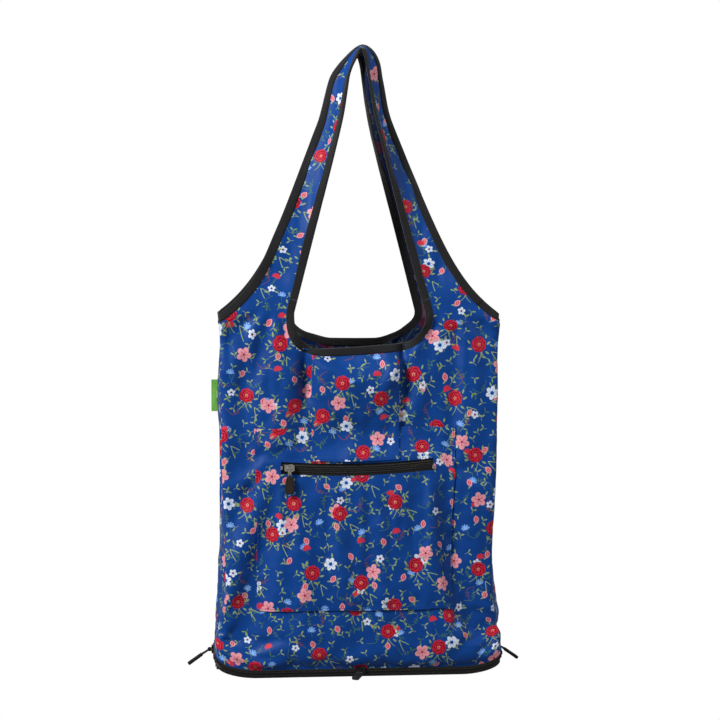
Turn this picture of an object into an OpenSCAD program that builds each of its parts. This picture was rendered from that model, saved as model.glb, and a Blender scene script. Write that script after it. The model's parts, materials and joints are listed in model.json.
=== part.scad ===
// Foldable tote bag: a vest-shaped cloth bag with a zipped front pocket and a zip round its base.
// Millimetres. +Z is up, -Y is the front, and the origin is the centre of the underside.

/* [Bag] */
// Width across the front
bag_w = 315; // [290:1:330]
// Depth between the front seam line and the back seam line
bag_d = 100; // [90:1:115]
// How far the front and back belly out at mid height
bulge = 5; // [2:1:7]
// Radius of the upright corners
corner_r = 8; // [6:1:10]
// Height of the sides at the armholes
side_h = 400; // [396:1:410]
// Height of the front hem
hem_h = 368; // [356:1:370]
// Height of the back hem
back_hem_h = 374; // [366:1:375]
// Half the gap between the strap roots
hem_half = 72; // [66:1:76]
// Radius of the hem's corners
hem_r = 24; // [18:1:25]
// Thickness of the cloth
cloth_t = 1.2; // [0.8:0.1:1.4]
// Width of the folded binding
bind_w = 9; // [8:0.5:10]
// Thickness of the folded binding
bind_t = 2.2; // [1.6:0.1:2.6]

/* [Handles] */
// Height of the top of the handles
top_h = 696; // [670:1:710]
// Height of one strap root, up to the line where the handle folds over
root_h = 13; // [12:1:16]
// Half the depth from the bag's middle to a handle's middle at the top
top_y = 19; // [18:1:22]
// How much of a handle's width turns front to back at the top
turn_y = 30; // [24:1:30]

/* [Pocket] */
// Width of the front pocket
pocket_w = 220; // [200:1:230]
// How far the pocket and the band sit to the left of the middle
pocket_shift = 5; // [0:1:6]
// Bottom of the pocket
pocket_z0 = 79; // [70:1:90]
// Top of the pocket
pocket_z1 = 278; // [270:1:286]
// Height of the pocket zip's middle
zip_z = 232; // [226:1:237]
// Length of the pocket zip
zip_len = 170; // [150:1:174]
// Width of the band down the middle of the front
band_w = 95; // [84:1:98]

/* [Zips] */
// Visible width of the pocket zip's two tapes together
tape_w = 14.4; // [14:0.2:15]
// Visible width of the base zip's two tapes together
base_tape_w = 8; // [7:0.2:8.4]
// Height of the coil
coil_h = 4; // [3.6:0.1:4.2]
// Length of a slider
slider_l = 11; // [10:0.5:12]
// Length of a pull, from its pivot to its tip
pull_l = 29; // [26:1:32]
// Height of the base zip's middle along the front
base_zip_z = 7.4; // [7.2:0.1:8]
// Height of the base zip's ends
base_zip_end_z = 20; // [18:1:26]
// How far each end of the base zip runs back along the side
base_zip_y = 36; // [30:1:38]

/* [Label] */
// Height of the blank side label's middle
label_z = 307; // [290:1:320]
// Height of the label
label_h = 36; // [30:1:40]
// How far the label stands out of its seam
label_w = 6.5; // [5:0.5:9]

/* [Hidden] */
$fn = 48;
gap = 0.3;                          // clearance between neighbouring cloth pieces
half_w = bag_w / 2;
half_d = bag_d / 2;
flat_half = half_w - corner_r;      // half the flat part of a panel
seam_y = half_d - corner_r;         // the side seams, front and back
floor_t = 1.2;
floor_top = 2 * floor_t + gap;
panel_z0 = base_zip_z + 4.2 + gap;       // the front panel's lower edge
fold_z = side_h + root_h;           // the line where a handle folds
bar_y = 6.6;                        // a pull's pivot, in front of its zip's tapes
bar_r = 0.8;
slider_margin = slider_l / 2 + 1;
side_zip_dy = base_zip_y + seam_y;
side_zip_slope = atan((base_zip_end_z - base_zip_z) / side_zip_dy);
pocket_zip_y = half_d + bulge + cloth_t / 2 + gap;
pocket_x0 = -pocket_w / 2 - pocket_shift;
pocket_x1 = pocket_w / 2 - pocket_shift;
strap_n = 36;

// ---- The body's curved surface ----------------------------------------------------------

// Front of the cloth's middle at x and height z, inside the flat part
function belly(x, z) = half_d + bulge * (1 - pow(x / flat_half, 2)) * sin(180 * min(z, side_h) / side_h);

// Positions across a panel: flat columns, then the corner's arc on each side
arc_steps = 3;
function corner_a(k) = 90 * k / arc_steps;
function hem_edge_x() = hem_half + bind_w + gap;

// Half of the columns of a panel, as flat x values from the middle to the corner
function half_columns(edge) = concat(
    [for (k = [0:3]) (hem_half - hem_r) * k / 3],
    [for (k = [1:6]) hem_half - hem_r + (edge - hem_half + hem_r) * sin(15 * k)],
    [for (k = [0:4]) edge + 0.3 + (flat_half - edge - 0.3) * k / 4]);
function mirrored(v) = concat([for (k = [len(v) - 1:-1:1]) -v[k]], v);

// Top edge of a panel, leaving room for its hem binding
function panel_top(x, hem, top, lift) = let (
    a = abs(x), c = hem_half - hem_r, r = hem_r + bind_w + gap, cz = hem + hem_r)
    a <= c ? hem - bind_w - gap : a <= c + r ? min(cz - sqrt(max(r * r - pow(a - c, 2), 0)), top) : top - lift;

function unit(v) = v / norm(v);

// ---- Sheets ------------------------------------------------------------------------------

// A closed sheet through a grid of points, t thick along the unit vectors in dirs.
// Rows and columns run so that row direction x column direction points along dirs.
module sheet(grid, dirs, t) {
    n = len(grid);
    m = len(grid[0]);
    a = n * m;
    points = concat(
        [for (i = [0:n - 1]) for (j = [0:m - 1]) grid[i][j] + dirs[i][j] * t / 2],
        [for (i = [0:n - 1]) for (j = [0:m - 1]) grid[i][j] - dirs[i][j] * t / 2]);
    cells = [for (i = [0:n - 2]) for (j = [0:m - 2]) [i * m + j, i * m + j + 1, (i + 1) * m + j + 1, (i + 1) * m + j]];
    rim = concat(
        [for (j = [0:m - 2]) [j, j + 1]],
        [for (i = [0:n - 2]) [i * m + m - 1, (i + 1) * m + m - 1]],
        [for (j = [0:m - 2]) [(n - 1) * m + j + 1, (n - 1) * m + j]],
        [for (i = [0:n - 2]) [(i + 1) * m, i * m]]);
    faces = concat(
        [for (c = cells) [c[0], c[1], c[2]]],
        [for (c = cells) [c[0], c[2], c[3]]],
        [for (c = cells) [c[2] + a, c[1] + a, c[0] + a]],
        [for (c = cells) [c[3] + a, c[2] + a, c[0] + a]],
        [for (e = rim) [e[1], e[0], e[0] + a]],
        [for (e = rim) [e[1], e[0] + a, e[1] + a]]);
    polyhedron(points, faces, convexity = 6);
}

// A patch that lies off the front's surface, between x0 and x1, from z0 up to z1
module front_patch(x0, x1, z0, z1, off, t, nx = 12, nz = 6) {
    xs = [for (i = [0:nx]) x0 + (x1 - x0) * i / nx];
    zs = [for (j = [0:nz]) z0 + (z1 - z0) * j / nz];
    sheet([for (x = xs) [for (z = zs) [x, -belly(x, z) - off, z]]], [for (x = xs) [for (z = zs) [0, -1, 0]]], t);
}

// A whole front or back panel, drawn at the front
module panel(hem, top, lift) {
    flat = mirrored(half_columns(hem_edge_x()));
    rows = 12;
    arc = [for (k = [1:arc_steps]) corner_a(k)];
    function flat_col(x) = [for (j = [0:rows]) let (z = panel_z0 + (panel_top(x, hem, top, lift) - panel_z0) * j / rows)
        [x, -belly(x, z), z]];
    function arc_col(a, s) = [for (j = [0:rows]) let (z = panel_z0 + (top - lift - panel_z0) * j / rows)
        [s * (flat_half + (corner_r - cloth_t / 2) * sin(a)), -seam_y - corner_r * cos(a), z]];
    grid = concat(
        [for (k = [arc_steps - 1:-1:0]) arc_col(arc[k], -1)],
        [for (x = flat) flat_col(x)],
        [for (a = arc) arc_col(a, 1)]);
    dirs = concat(
        [for (k = [arc_steps - 1:-1:0]) [for (j = [0:rows]) [-sin(arc[k]), -cos(arc[k]), 0]]],
        [for (x = flat) [for (j = [0:rows]) [0, -1, 0]]],
        [for (a = arc) [for (j = [0:rows]) [sin(a), -cos(a), 0]]]);
    sheet(grid, dirs, cloth_t);
}

// The U-shaped binding round a hem, drawn at the front
module hem_binding(hem, top) {
    c = hem_half - hem_r;
    path = concat(
        [[-hem_half, top, -1, 0], [-hem_half, hem + hem_r, -1, 0]],
        [for (k = [1:5]) [-c - hem_r * cos(15 * k), hem + hem_r - hem_r * sin(15 * k), -cos(15 * k), -sin(15 * k)]],
        [for (k = [0:6]) [-c + 2 * c * k / 6, hem, 0, -1]],
        [for (k = [5:-1:1]) [c + hem_r * cos(15 * k), hem + hem_r - hem_r * sin(15 * k), cos(15 * k), -sin(15 * k)]],
        [[hem_half, hem + hem_r, 1, 0], [hem_half, top, 1, 0]]);
    function at(p, off) = let (x = p[0] + p[2] * off, z = p[1] + p[3] * off) [x, -belly(x, z), z];
    sheet([for (p = path) [at(p, bind_w), at(p, 0)]], [for (p = path) [[0, -1, 0], [0, -1, 0]]], bind_t);
}

// ---- Handles -----------------------------------------------------------------------------

// Height share t runs from 0 at the armholes to 1 at the top
function inner_x(t) = hem_half * pow(1 - t, 1.1);
function outer_x(t) = 115 * pow(1 - t, 0.9) + (half_w - corner_r + 2 - 115) * exp(-t / 0.14) * (1 - t);
function ease(a, b, t) = let (u = min(max((t - a) / (b - a), 0), 1)) u * u * (3 - 2 * u);
function strap_z(t) = side_h + (top_h - side_h) * t;
function strap_y(t) = -half_d + (half_d - top_y) * t;
function turn(t) = turn_y * ease(0.15, 0.7, t);

// Point across a handle, mm in from the inner edge (from > 0) or the outer edge (from < 0)
function strap_point(s, t, from) = let (
    inner = [s * inner_x(t), strap_y(t) - turn(t) / 2, strap_z(t)],
    outer = [s * outer_x(t), strap_y(t) + turn(t) / 2, strap_z(t)],
    v = outer - inner)
    from >= 0 ? inner + unit(v) * from : outer + unit(v) * from;

// A ribbon along a handle's whole arch, from one offset across it to another
module strap_ribbon(from_in, from_out, t0, t) {
    ks = [for (k = [0:strap_n]) -1 + 2 * k / strap_n];
    function share(k) = t0 + (1 - t0) * (1 - abs(k));
    function row(k) = let (s = k < 0 ? -1 : 1, h = share(k))
        let (a = strap_point(s, h, from_in), b = strap_point(s, h, from_out)) [a, (a + b) / 2, b];
    grid = [for (k = ks) row(k)];
    function along(i) = grid[min(i + 1, strap_n)][1] - grid[max(i - 1, 0)][1];
    dirs = [for (i = [0:strap_n]) let (d = unit(cross(along(i), grid[i][2] - grid[i][0]))) [d, d, d]];
    sheet(grid, dirs, t);
}

// One strap root on each side, between the armhole height and the fold line
module strap_roots(lift) {
    steps = 6;
    t1 = (root_h - gap) / (top_h - side_h);
    function edge(t, f) = inner_x(t) + (outer_x(t) - inner_x(t)) * f;
    for (s = [-1, 1]) {
        ts = [for (j = [0:2]) lift / (top_h - side_h) + (t1 - lift / (top_h - side_h)) * j / 2];
        fs = [for (i = [0:steps]) s > 0 ? i / steps : 1 - i / steps];
        sheet([for (f = fs) [for (t = ts) [s * edge(t, f), -half_d, strap_z(t)]]],
            [for (f = fs) [for (t = ts) [0, -1, 0]]], cloth_t);
    }
}

handle_t0 = (root_h + gap) / (top_h - side_h);
module handle_cloth() { strap_ribbon(bind_w + gap, -bind_w - gap, handle_t0, cloth_t); }
module handle_inner_binding() { strap_ribbon(0, bind_w, handle_t0, bind_t); }
module handle_outer_binding() { strap_ribbon(-bind_w, -0.01, handle_t0, bind_t); }

// ---- Zips --------------------------------------------------------------------------------
// Each is drawn running along X, with its face towards -Y and its tapes' back at y = 0.

module zip_tapes(l, w) {
    for (s = [-1, 1])
        translate([-l / 2, -0.8, s > 0 ? 0.6 : -w / 2]) cube([l, 0.8, w / 2 - 0.6]);
}

// A moulded coil: a ridged bar, one ridge per tooth
module zip_coil(l, pitch = 3) {
    n = floor(l / pitch);
    outline = concat(
        [for (k = [0:n - 1]) for (p = [[0, 0.35], [0.5, 0], [0.9, 0.35]]) [-l / 2 + (k + p[0]) * l / n, coil_h / 2 - p[1]]],
        [for (k = [n - 1:-1:0]) for (p = [[0.9, 0.35], [0.5, 0], [0, 0.35]])
            [-l / 2 + (k + p[0]) * l / n, -coil_h / 2 + p[1]]]);
    translate([0, -1.1, 0]) rotate([90, 0, 0]) linear_extrude(1.6) polygon(outline);
}

module zip_slider() {
    plate_y = 1.1 + 1.6 + gap;
    rail_z = coil_h / 2 + gap;
    translate([0, -plate_y, 0]) rotate([90, 0, 0]) linear_extrude(1.2)
        polygon([[-slider_l / 2, -3], [-slider_l / 2, 3], [slider_l / 2 - 3, 4.3], [slider_l / 2, 2.8],
            [slider_l / 2, -2.8], [slider_l / 2 - 3, -4.3]]);
    for (s = [-1, 1])
        translate([-slider_l / 2 + 0.5, -plate_y - 0.4, s > 0 ? rail_z : -rail_z - 1.3])
            cube([slider_l - 2, plate_y + 0.4 - 1.1, 1.3]);
    for (x = [-3.5, 3.5])
        translate([x - 0.6, -bar_y, -bar_r]) cube([1.2, bar_y - plate_y - 1, 2 * bar_r]);
    translate([-4.1, -bar_y, 0]) rotate([0, 90, 0]) cylinder(h = 8.2, r = bar_r);
}

// A pull's loop and its short strip, turned up by tilt from hanging straight down
module pull_tab(tilt) {
    translate([0, -bar_y, 0]) rotate([-tilt, 0, 0]) difference() {
        union() {
            translate([-1.9, 0, 0]) rotate([0, 90, 0]) cylinder(h = 3.8, r = 2);
            translate([-1.9, -0.7, -8.6]) cube([3.8, 1.4, 8.6]);
        }
        translate([-3, 0, 0]) rotate([0, 90, 0]) cylinder(h = 6, r = bar_r + 0.07);
    }
}

// A pull's tapered grip, bent sideways by bend where the strip meets it
module pull_grip(tilt, bend, w0, w1) {
    translate([0, -bar_y, 0]) rotate([-tilt, 0, 0]) translate([0, 1.4, -8.9]) rotate([0, bend, 0]) rotate([90, 0, 0])
        linear_extrude(2.8) difference() {
            polygon([[-w0 / 2, -1.2], [w0 / 2, -1.2], [w1 / 2, 8.9 - pull_l + 2], [w1 / 2 - 1.5, 8.9 - pull_l],
                [1.5 - w1 / 2, 8.9 - pull_l], [-w1 / 2, 8.9 - pull_l + 2]]);
            for (k = [0:2]) for (s = [-1, 1])
                translate([s * (w0 + w1) / 4 + s * 0.25, -8 - 3 * k]) circle(r = 0.7);
        }
}

// ---- Places ------------------------------------------------------------------------------

module at_pocket_zip(x = 0) { translate([2 - pocket_shift + x, -pocket_zip_y, zip_z]) children(); }
module at_base_zip() { translate([0, -half_d + 0.4, base_zip_z]) children(); }
// The left end of the base zip, running forward and down along the side
module at_left_zip(along) {
    translate([-half_w - gap, base_zip_y, base_zip_end_z]) rotate([0, 0, -90]) rotate([0, side_zip_slope, 0])
        translate([along, 0, 0]) children();
}
module at_right_zip(along) { mirror([1, 0, 0]) at_left_zip(along) children(); }
side_run = side_zip_dy / cos(side_zip_slope) - 3;
side_slider_at = 12;                 // from the back end of its run
side_tilt = 56;                      // of the side pulls, out from hanging
front_tilt = 85;                     // of the middle pull

// ---- The nodes ---------------------------------------------------------------------------

module front_panel() { color("royalblue") panel(hem_h, side_h, gap); }
module back_panel() { color("royalblue") mirror([0, 1, 0]) panel(back_hem_h, side_h, gap); }
module gusset() {
    translate([-half_w, -seam_y + gap, panel_z0]) cube([cloth_t, 2 * (seam_y - gap), side_h - bind_w - gap - panel_z0]);
}
module left_gusset() { color("mediumblue") gusset(); }
module right_gusset() { color("mediumblue") mirror([1, 0, 0]) gusset(); }
module armhole_binding() {
    translate([-half_w - 0.5, -seam_y + gap, side_h - bind_w]) cube([bind_t, 2 * (seam_y - gap), bind_w]);
}
module left_armhole_binding() { color("black") armhole_binding(); }
module right_armhole_binding() { color("black") mirror([1, 0, 0]) armhole_binding(); }
module base_plate() {
    cube_w = bag_w - 2 * corner_r;
    linear_extrude(floor_t) union() {
        square([cube_w, bag_d], center = true);
        square([bag_w, bag_d - 2 * corner_r], center = true);
        for (x = [-1, 1]) for (y = [-1, 1]) translate([x * cube_w / 2, y * seam_y]) circle(r = corner_r);
    }
}
module base_cover() { color("navy") base_plate(); }
module base_floor() { color("royalblue") translate([0, 0, floor_t + gap]) base_plate(); }
module front_hem_binding() { color("black") hem_binding(hem_h, side_h - gap); }
module back_hem_binding() { color("black") mirror([0, 1, 0]) hem_binding(back_hem_h, side_h - gap); }
module front_strap_roots() { color("royalblue") strap_roots(gap); }
module back_strap_roots() { color("royalblue") mirror([0, 1, 0]) strap_roots(gap); }
module front_handle() { color("royalblue") handle_cloth(); }
module front_handle_inner_binding() { color("black") handle_inner_binding(); }
module front_handle_outer_binding() { color("black") handle_outer_binding(); }
module back_handle() { color("navy") mirror([0, 1, 0]) handle_cloth(); }
module back_handle_inner_binding() { color("black") mirror([0, 1, 0]) handle_inner_binding(); }
module back_handle_outer_binding() { color("black") mirror([0, 1, 0]) handle_outer_binding(); }

// The pocket's lower panel rises beside the zip as two narrow cheeks
module pocket_panel() {
    zip_top = zip_z - tape_w / 2 - gap;
    zip_x0 = 2 - pocket_shift - zip_len / 2 - gap;
    zip_x1 = 2 - pocket_shift + zip_len / 2 + gap;
    cheek_top = zip_z + tape_w / 2;
    off = 2.4;
    color("royalblue") {
        front_patch(pocket_x0, pocket_x1, pocket_z0, zip_top, off, cloth_t);
        front_patch(pocket_x0, zip_x0, zip_top + 0.02, cheek_top, off, cloth_t, 2, 1);
        front_patch(zip_x1, pocket_x1, zip_top + 0.02, cheek_top, off, cloth_t, 2, 1);
    }
}
module pocket_top_strip() {
    color("royalblue") front_patch(pocket_x0, pocket_x1, zip_z + tape_w / 2 + gap, pocket_z1, 2.4, cloth_t, 12, 2);
}
module centre_band() {
    color("royalblue") front_patch(-pocket_shift - band_w / 2, band_w / 2 - pocket_shift, zip_z + tape_w / 2 + 2, hem_h - bind_w - 2, 4.8, cloth_t, 6, 5);
}
module pocket_zip_tapes() { color("black") at_pocket_zip() zip_tapes(zip_len, tape_w); }
module pocket_zip_coil() { color("dimgray") at_pocket_zip() zip_coil(zip_len - 8); }
module pocket_zip_stops() {
    color("black") at_pocket_zip() for (s = [-1, 1])
        translate([s * (zip_len / 2 - 2) - 1.2, -2.7, -coil_h / 2]) cube([2.4, 1.6, coil_h]);
}
pocket_slider_x = -zip_len / 2 + 4 + slider_margin;
module pocket_zip_slider() { color("silver") at_pocket_zip(pocket_slider_x) zip_slider(); }
module pocket_pull_tab() { color("silver") at_pocket_zip(pocket_slider_x) pull_tab(0); }
module pocket_pull_grip() { color("black") at_pocket_zip(pocket_slider_x) pull_grip(0, 0, 5, 7.5); }
module base_zip_tapes() { color("black") at_base_zip() zip_tapes(2 * flat_half, base_tape_w); }
module base_zip_coil() { color("black") at_base_zip() zip_coil(2 * flat_half - 4); }
module side_zip() { translate([side_run / 2 - 4, 0, 0]) { zip_tapes(side_run, base_tape_w); zip_coil(side_run - 4); } }
module left_zip_run() { color("black") at_left_zip(0) side_zip(); }
module right_zip_run() { color("black") at_right_zip(0) side_zip(); }
module centre_zip_slider() { color("dimgray") at_base_zip() zip_slider(); }
module centre_pull_tab() { color("black") at_base_zip() pull_tab(front_tilt); }
module centre_pull_grip() { color("black") at_base_zip() pull_grip(front_tilt, 25, 5, 8); }
module left_zip_slider() { color("dimgray") at_left_zip(side_slider_at) zip_slider(); }
module left_pull_tab() { color("black") at_left_zip(side_slider_at) pull_tab(side_tilt); }
module left_pull_grip() { color("black") at_left_zip(side_slider_at) pull_grip(side_tilt, -8, 5, 6); }
module right_zip_slider() { color("dimgray") at_right_zip(side_slider_at) zip_slider(); }
module right_pull_tab() { color("black") at_right_zip(side_slider_at) pull_tab(side_tilt); }
module right_pull_grip() { color("black") at_right_zip(side_slider_at) pull_grip(side_tilt, -8, 5, 6); }
module side_label() {
    color("limegreen") translate([-half_w - 0.8 - label_w, seam_y - 0.4, label_z - label_h / 2])
        cube([label_w, 0.8, label_h]);
}

front_panel();
back_panel();
left_gusset();
right_gusset();
left_armhole_binding();
right_armhole_binding();
base_cover();
base_floor();
front_hem_binding();
back_hem_binding();
front_strap_roots();
back_strap_roots();
front_handle();
front_handle_inner_binding();
front_handle_outer_binding();
back_handle();
back_handle_inner_binding();
back_handle_outer_binding();
pocket_panel();
pocket_top_strip();
centre_band();
pocket_zip_tapes();
pocket_zip_coil();
pocket_zip_stops();
pocket_zip_slider();
pocket_pull_tab();
pocket_pull_grip();
base_zip_tapes();
base_zip_coil();
left_zip_run();
right_zip_run();
centre_zip_slider();
centre_pull_tab();
centre_pull_grip();
left_zip_slider();
left_pull_tab();
left_pull_grip();
right_zip_slider();
right_pull_tab();
right_pull_grip();
side_label();
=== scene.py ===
"""Looks of the foldable tote bag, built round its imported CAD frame.

Lengths are metres in the CAD's own frame: +Z up, -Y the front, origin at the centre of the underside.
Print coordinates (the UV map called "print") are metres of cloth.
"""
import json
import math

import bpy
import numpy as np
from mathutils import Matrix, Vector, noise


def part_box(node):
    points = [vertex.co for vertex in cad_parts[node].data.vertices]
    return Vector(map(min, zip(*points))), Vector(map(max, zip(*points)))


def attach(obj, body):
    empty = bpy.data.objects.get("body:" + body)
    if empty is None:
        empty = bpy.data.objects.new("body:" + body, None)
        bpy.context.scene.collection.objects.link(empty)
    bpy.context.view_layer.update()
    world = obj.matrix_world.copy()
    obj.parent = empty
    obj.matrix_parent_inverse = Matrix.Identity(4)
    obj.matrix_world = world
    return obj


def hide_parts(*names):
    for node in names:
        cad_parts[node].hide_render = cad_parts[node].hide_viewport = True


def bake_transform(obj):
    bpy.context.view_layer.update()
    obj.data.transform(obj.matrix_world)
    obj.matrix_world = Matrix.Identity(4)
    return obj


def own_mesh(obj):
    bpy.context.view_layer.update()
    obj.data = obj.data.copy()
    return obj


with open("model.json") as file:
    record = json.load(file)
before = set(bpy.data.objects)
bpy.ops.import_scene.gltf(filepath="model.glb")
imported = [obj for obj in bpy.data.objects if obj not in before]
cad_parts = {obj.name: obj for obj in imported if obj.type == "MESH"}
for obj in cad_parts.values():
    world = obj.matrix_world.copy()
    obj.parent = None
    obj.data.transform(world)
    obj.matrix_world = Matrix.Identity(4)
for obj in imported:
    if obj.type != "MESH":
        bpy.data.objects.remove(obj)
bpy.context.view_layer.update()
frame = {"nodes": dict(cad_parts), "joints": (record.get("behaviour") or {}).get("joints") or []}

# ---- Sizes, read from the frame ---------------------------------------------------------------

MM = 0.001
JOINTS = {j["name"]: j for j in frame["joints"]}
HALF_W = -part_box("base_cover")[0].x
HALF_D = -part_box("base_cover")[0].y
SIDE_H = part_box("left_armhole_binding")[1].z
SEAM_Y = round(-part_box("left_gusset")[0].y + 0.0003, 4)
CORNER_R = HALF_D - SEAM_Y
FLAT_HALF = HALF_W - CORNER_R
BULGE = -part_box("front_panel")[0].y - HALF_D - 0.6 * MM
HEM_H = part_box("front_hem_binding")[0].z + 9 * MM
BACK_HEM_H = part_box("back_hem_binding")[0].z + 9 * MM
HEM_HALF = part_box("front_hem_binding")[1].x - 9 * MM
HEM_R = 24 * MM
FOLD_Z = JOINTS["front_handle_fold"]["pos_m"][2]
TOP_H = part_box("front_handle")[1].z
TOP_Y = 19 * MM        # how far in front of the middle the front handle's top lies
TURN_Y = 30 * MM       # how far a front strap's outer edge lies behind its inner edge
ZIP_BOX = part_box("pocket_zip_tapes")
POCKET_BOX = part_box("pocket_panel")
POCKET_X = (POCKET_BOX[0].x + POCKET_BOX[1].x) / 2
STRIP_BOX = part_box("pocket_top_strip")
BAND_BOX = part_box("centre_band")
LABEL_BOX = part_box("side_label")

CLOTH_T = 0.8 * MM
BIND_W = 9 * MM
BIND_T = 2.6 * MM
TUCK = 3 * MM          # how far a raw edge stops inside its binding
NOT_ALONG = (0.123, 0.456, 0.881)      # a direction that no pull lies along
OUT = (0.0, -1.0, 0.0)                 # out of the front
UP = (0.0, 0.0, 1.0)
ROOT_T = (FOLD_Z - SIDE_H) / (TOP_H - SIDE_H)   # where a strap folds, from 0 at its root to 1 at the top


# ---- Small helpers ----------------------------------------------------------------------------

def smooth(a, b, x):
    """0 below a, 1 above b, and a smooth climb between."""
    u = np.clip((x - a) / (b - a), 0.0, 1.0)
    return u * u * (3 - 2 * u)


def unit(v):
    v = np.asarray(v, float)
    return v / np.maximum(np.linalg.norm(v, axis=-1, keepdims=True), 1e-12)


def pack(*parts):
    """Coordinates gathered into points, along a new last axis."""
    return np.stack(parts, axis=-1)


def pair(a, b):
    """Both as float arrays of one shape."""
    return np.broadcast_arrays(np.asarray(a, float), np.asarray(b, float))


def spaced(start, *steps):
    """Values from start through later stops. Before each stop comes how many values lead to it."""
    parts = [[start]]
    for count, stop in zip(steps[::2], steps[1::2]):
        parts.append(np.linspace(start, stop, count)[1:])
        start = stop
    return np.concatenate(parts)


def arc_length(points):
    steps = np.linalg.norm(np.diff(points, axis=0), axis=1)
    return np.concatenate([[0.0], np.cumsum(steps)])


def values_at(t, s, values):
    """Vectors given at the path lengths s, read off at the lengths t."""
    return pack(*(np.interp(t, s, values[:, k]) for k in range(3)))


def resample(points, spacing):
    """The same path with points about spacing apart."""
    s = arc_length(points)
    n = max(2, int(round(s[-1] / spacing)) + 1)
    return values_at(np.linspace(0, s[-1], n), s, points)


def mesh_object(name, verts, faces, uvs=None, materials=(), slots=None, shade=True):
    """A mesh piece. uvs holds one pair per vertex, and slots one material index per face."""
    mesh = bpy.data.meshes.new(name)
    mesh.from_pydata(np.asarray(verts, float).tolist(), [], [list(map(int, f)) for f in faces])
    if uvs is not None:
        layer = mesh.uv_layers.new(name="print")
        loops = np.empty(len(mesh.loops), np.int32)
        mesh.loops.foreach_get("vertex_index", loops)
        layer.data.foreach_set("uv", np.asarray(uvs, np.float32)[loops].ravel())
    for m in materials:
        mesh.materials.append(m)
    if slots is not None:
        mesh.polygons.foreach_set("material_index", np.asarray(slots, np.int32))
    mesh.polygons.foreach_set("use_smooth", [shade] * len(mesh.polygons))
    mesh.update()
    obj = bpy.data.objects.new(name, mesh)
    bpy.context.scene.collection.objects.link(obj)
    return obj


def stands_for(obj, slot, nodes):
    """Hides the CAD nodes that a piece replaces. slot is not used."""
    if nodes:
        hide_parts(*nodes)


def finish_piece(obj, body, slot, *nodes):
    """Rides obj on a body."""
    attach(obj, body)
    stands_for(obj, slot, nodes)


def blend_piece(obj, a, b, z0, z1, slot, *nodes):
    """Bakes obj's place into its mesh, and hides the CAD nodes that it replaces. a, b, z0 and z1 are not
    used.
    """
    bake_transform(obj)
    stands_for(obj, slot, nodes)


def squash_piece(obj, anchor_y, front_y, slot, *nodes):
    """Rides obj on the back, on a mesh of its own. front_y is not used."""
    finish_piece(obj, "back", slot, *nodes)
    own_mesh(obj)


def grid_faces(n, m, first=0):
    """Faces of an n by m grid of points. Their outside is towards column direction x row direction."""
    faces = []
    for i in range(n - 1):
        for j in range(m - 1):
            a = first + i * m + j
            faces.append((a, a + 1, a + m + 1, a + m))
    return faces


class Sheets:
    """Cloth built from grids: outside and lining faces a cloth's thickness apart, closed round the rim."""

    def __init__(self):
        self.grids = []

    def add(self, points, uv):
        self.grids.append((points, uv))

    def build(self, name, outside, lining, thickness=CLOTH_T):
        verts, uvs, faces = [], [], []
        for p, uv in self.grids:
            n, m = p.shape[:2]
            faces += grid_faces(n, m, sum(len(v) for v in verts))
            verts.append(p.reshape(-1, 3))
            uvs.append(uv.reshape(-1, 2))
        obj = mesh_object(name, np.concatenate(verts), faces, np.concatenate(uvs), (outside, lining))
        if len(self.grids) > 1:
            weld(obj)
        solid = obj.modifiers.new("thickness", "SOLIDIFY")
        solid.thickness = thickness
        solid.offset = 0
        solid.material_offset = 1
        solid.use_even_offset = False
        apply_modifiers(obj)
        obj.data.set_sharp_from_angle(angle=math.radians(60))
        return obj


def weld(obj, distance=0.02 * MM):
    mod = obj.modifiers.new("weld", "WELD")
    mod.merge_threshold = distance
    apply_modifiers(obj)


def apply_modifiers(obj):
    bpy.context.view_layer.update()
    graph = bpy.context.evaluated_depsgraph_get()
    mesh = bpy.data.meshes.new_from_object(obj.evaluated_get(graph), depsgraph=graph)
    obj.modifiers.clear()
    old = obj.data
    obj.data = mesh
    bpy.data.meshes.remove(old)


def ring_mesh(name, rings, middle, profile, materials, flip=False):
    """A closed solid from rings of points, each one the profile carried to a place on the middle line."""
    n, m = rings.shape[:2]
    uvs = pack(*np.meshgrid(arc_length(middle), arc_length(profile), indexing="ij"))
    faces = []
    for i in range(n - 1):
        for j in range(m):
            k = (j + 1) % m
            quad = (i * m + j, (i + 1) * m + j, (i + 1) * m + k, i * m + k)
            faces.append(quad[::-1] if flip else quad)
    faces.append(tuple(range(m)))
    faces.append(tuple(range((n - 1) * m, n * m))[::-1])
    return mesh_object(name, rings.reshape(-1, 3), faces, uvs.reshape(-1, 2), materials)


def sweep(name, points, across, normal, profile, materials):
    """A profile of (across, normal) offsets carried along a path."""
    profile = np.asarray(profile, float)
    offsets = across[:, None] * profile[None, :, :1] + normal[:, None] * profile[None, :, 1:]
    return ring_mesh(name, points[:, None] + offsets, points, profile, materials)


def rounded_profile(u0, u1, thickness, steps=4, sag=0.0):
    """A flat lozenge with round ends, from u0 to u1 across. sag thins its middle."""
    r = thickness / 2
    angles = np.linspace(-math.pi / 2, math.pi / 2, steps + 1)
    right = [(u1 - r + r * math.cos(a), r * math.sin(a)) for a in angles]
    left = [(u0 + r - r * math.cos(a), -r * math.sin(a)) for a in angles]
    middle = (u0 + u1) / 2
    return right + [(middle, r - sag)] + left + [(middle, -r + sag)]


def tube(name, points, radius, materials, sides):
    """A round bar along a path."""
    tangent = unit(np.gradient(points, axis=0))
    across = unit(np.cross(tangent, NOT_ALONG))
    turns = [2 * math.pi * k / sides for k in range(sides)]
    circle = [(radius * math.cos(a), radius * math.sin(a)) for a in turns]
    return sweep(name, points, across, unit(np.cross(across, tangent)), circle, materials)


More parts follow.
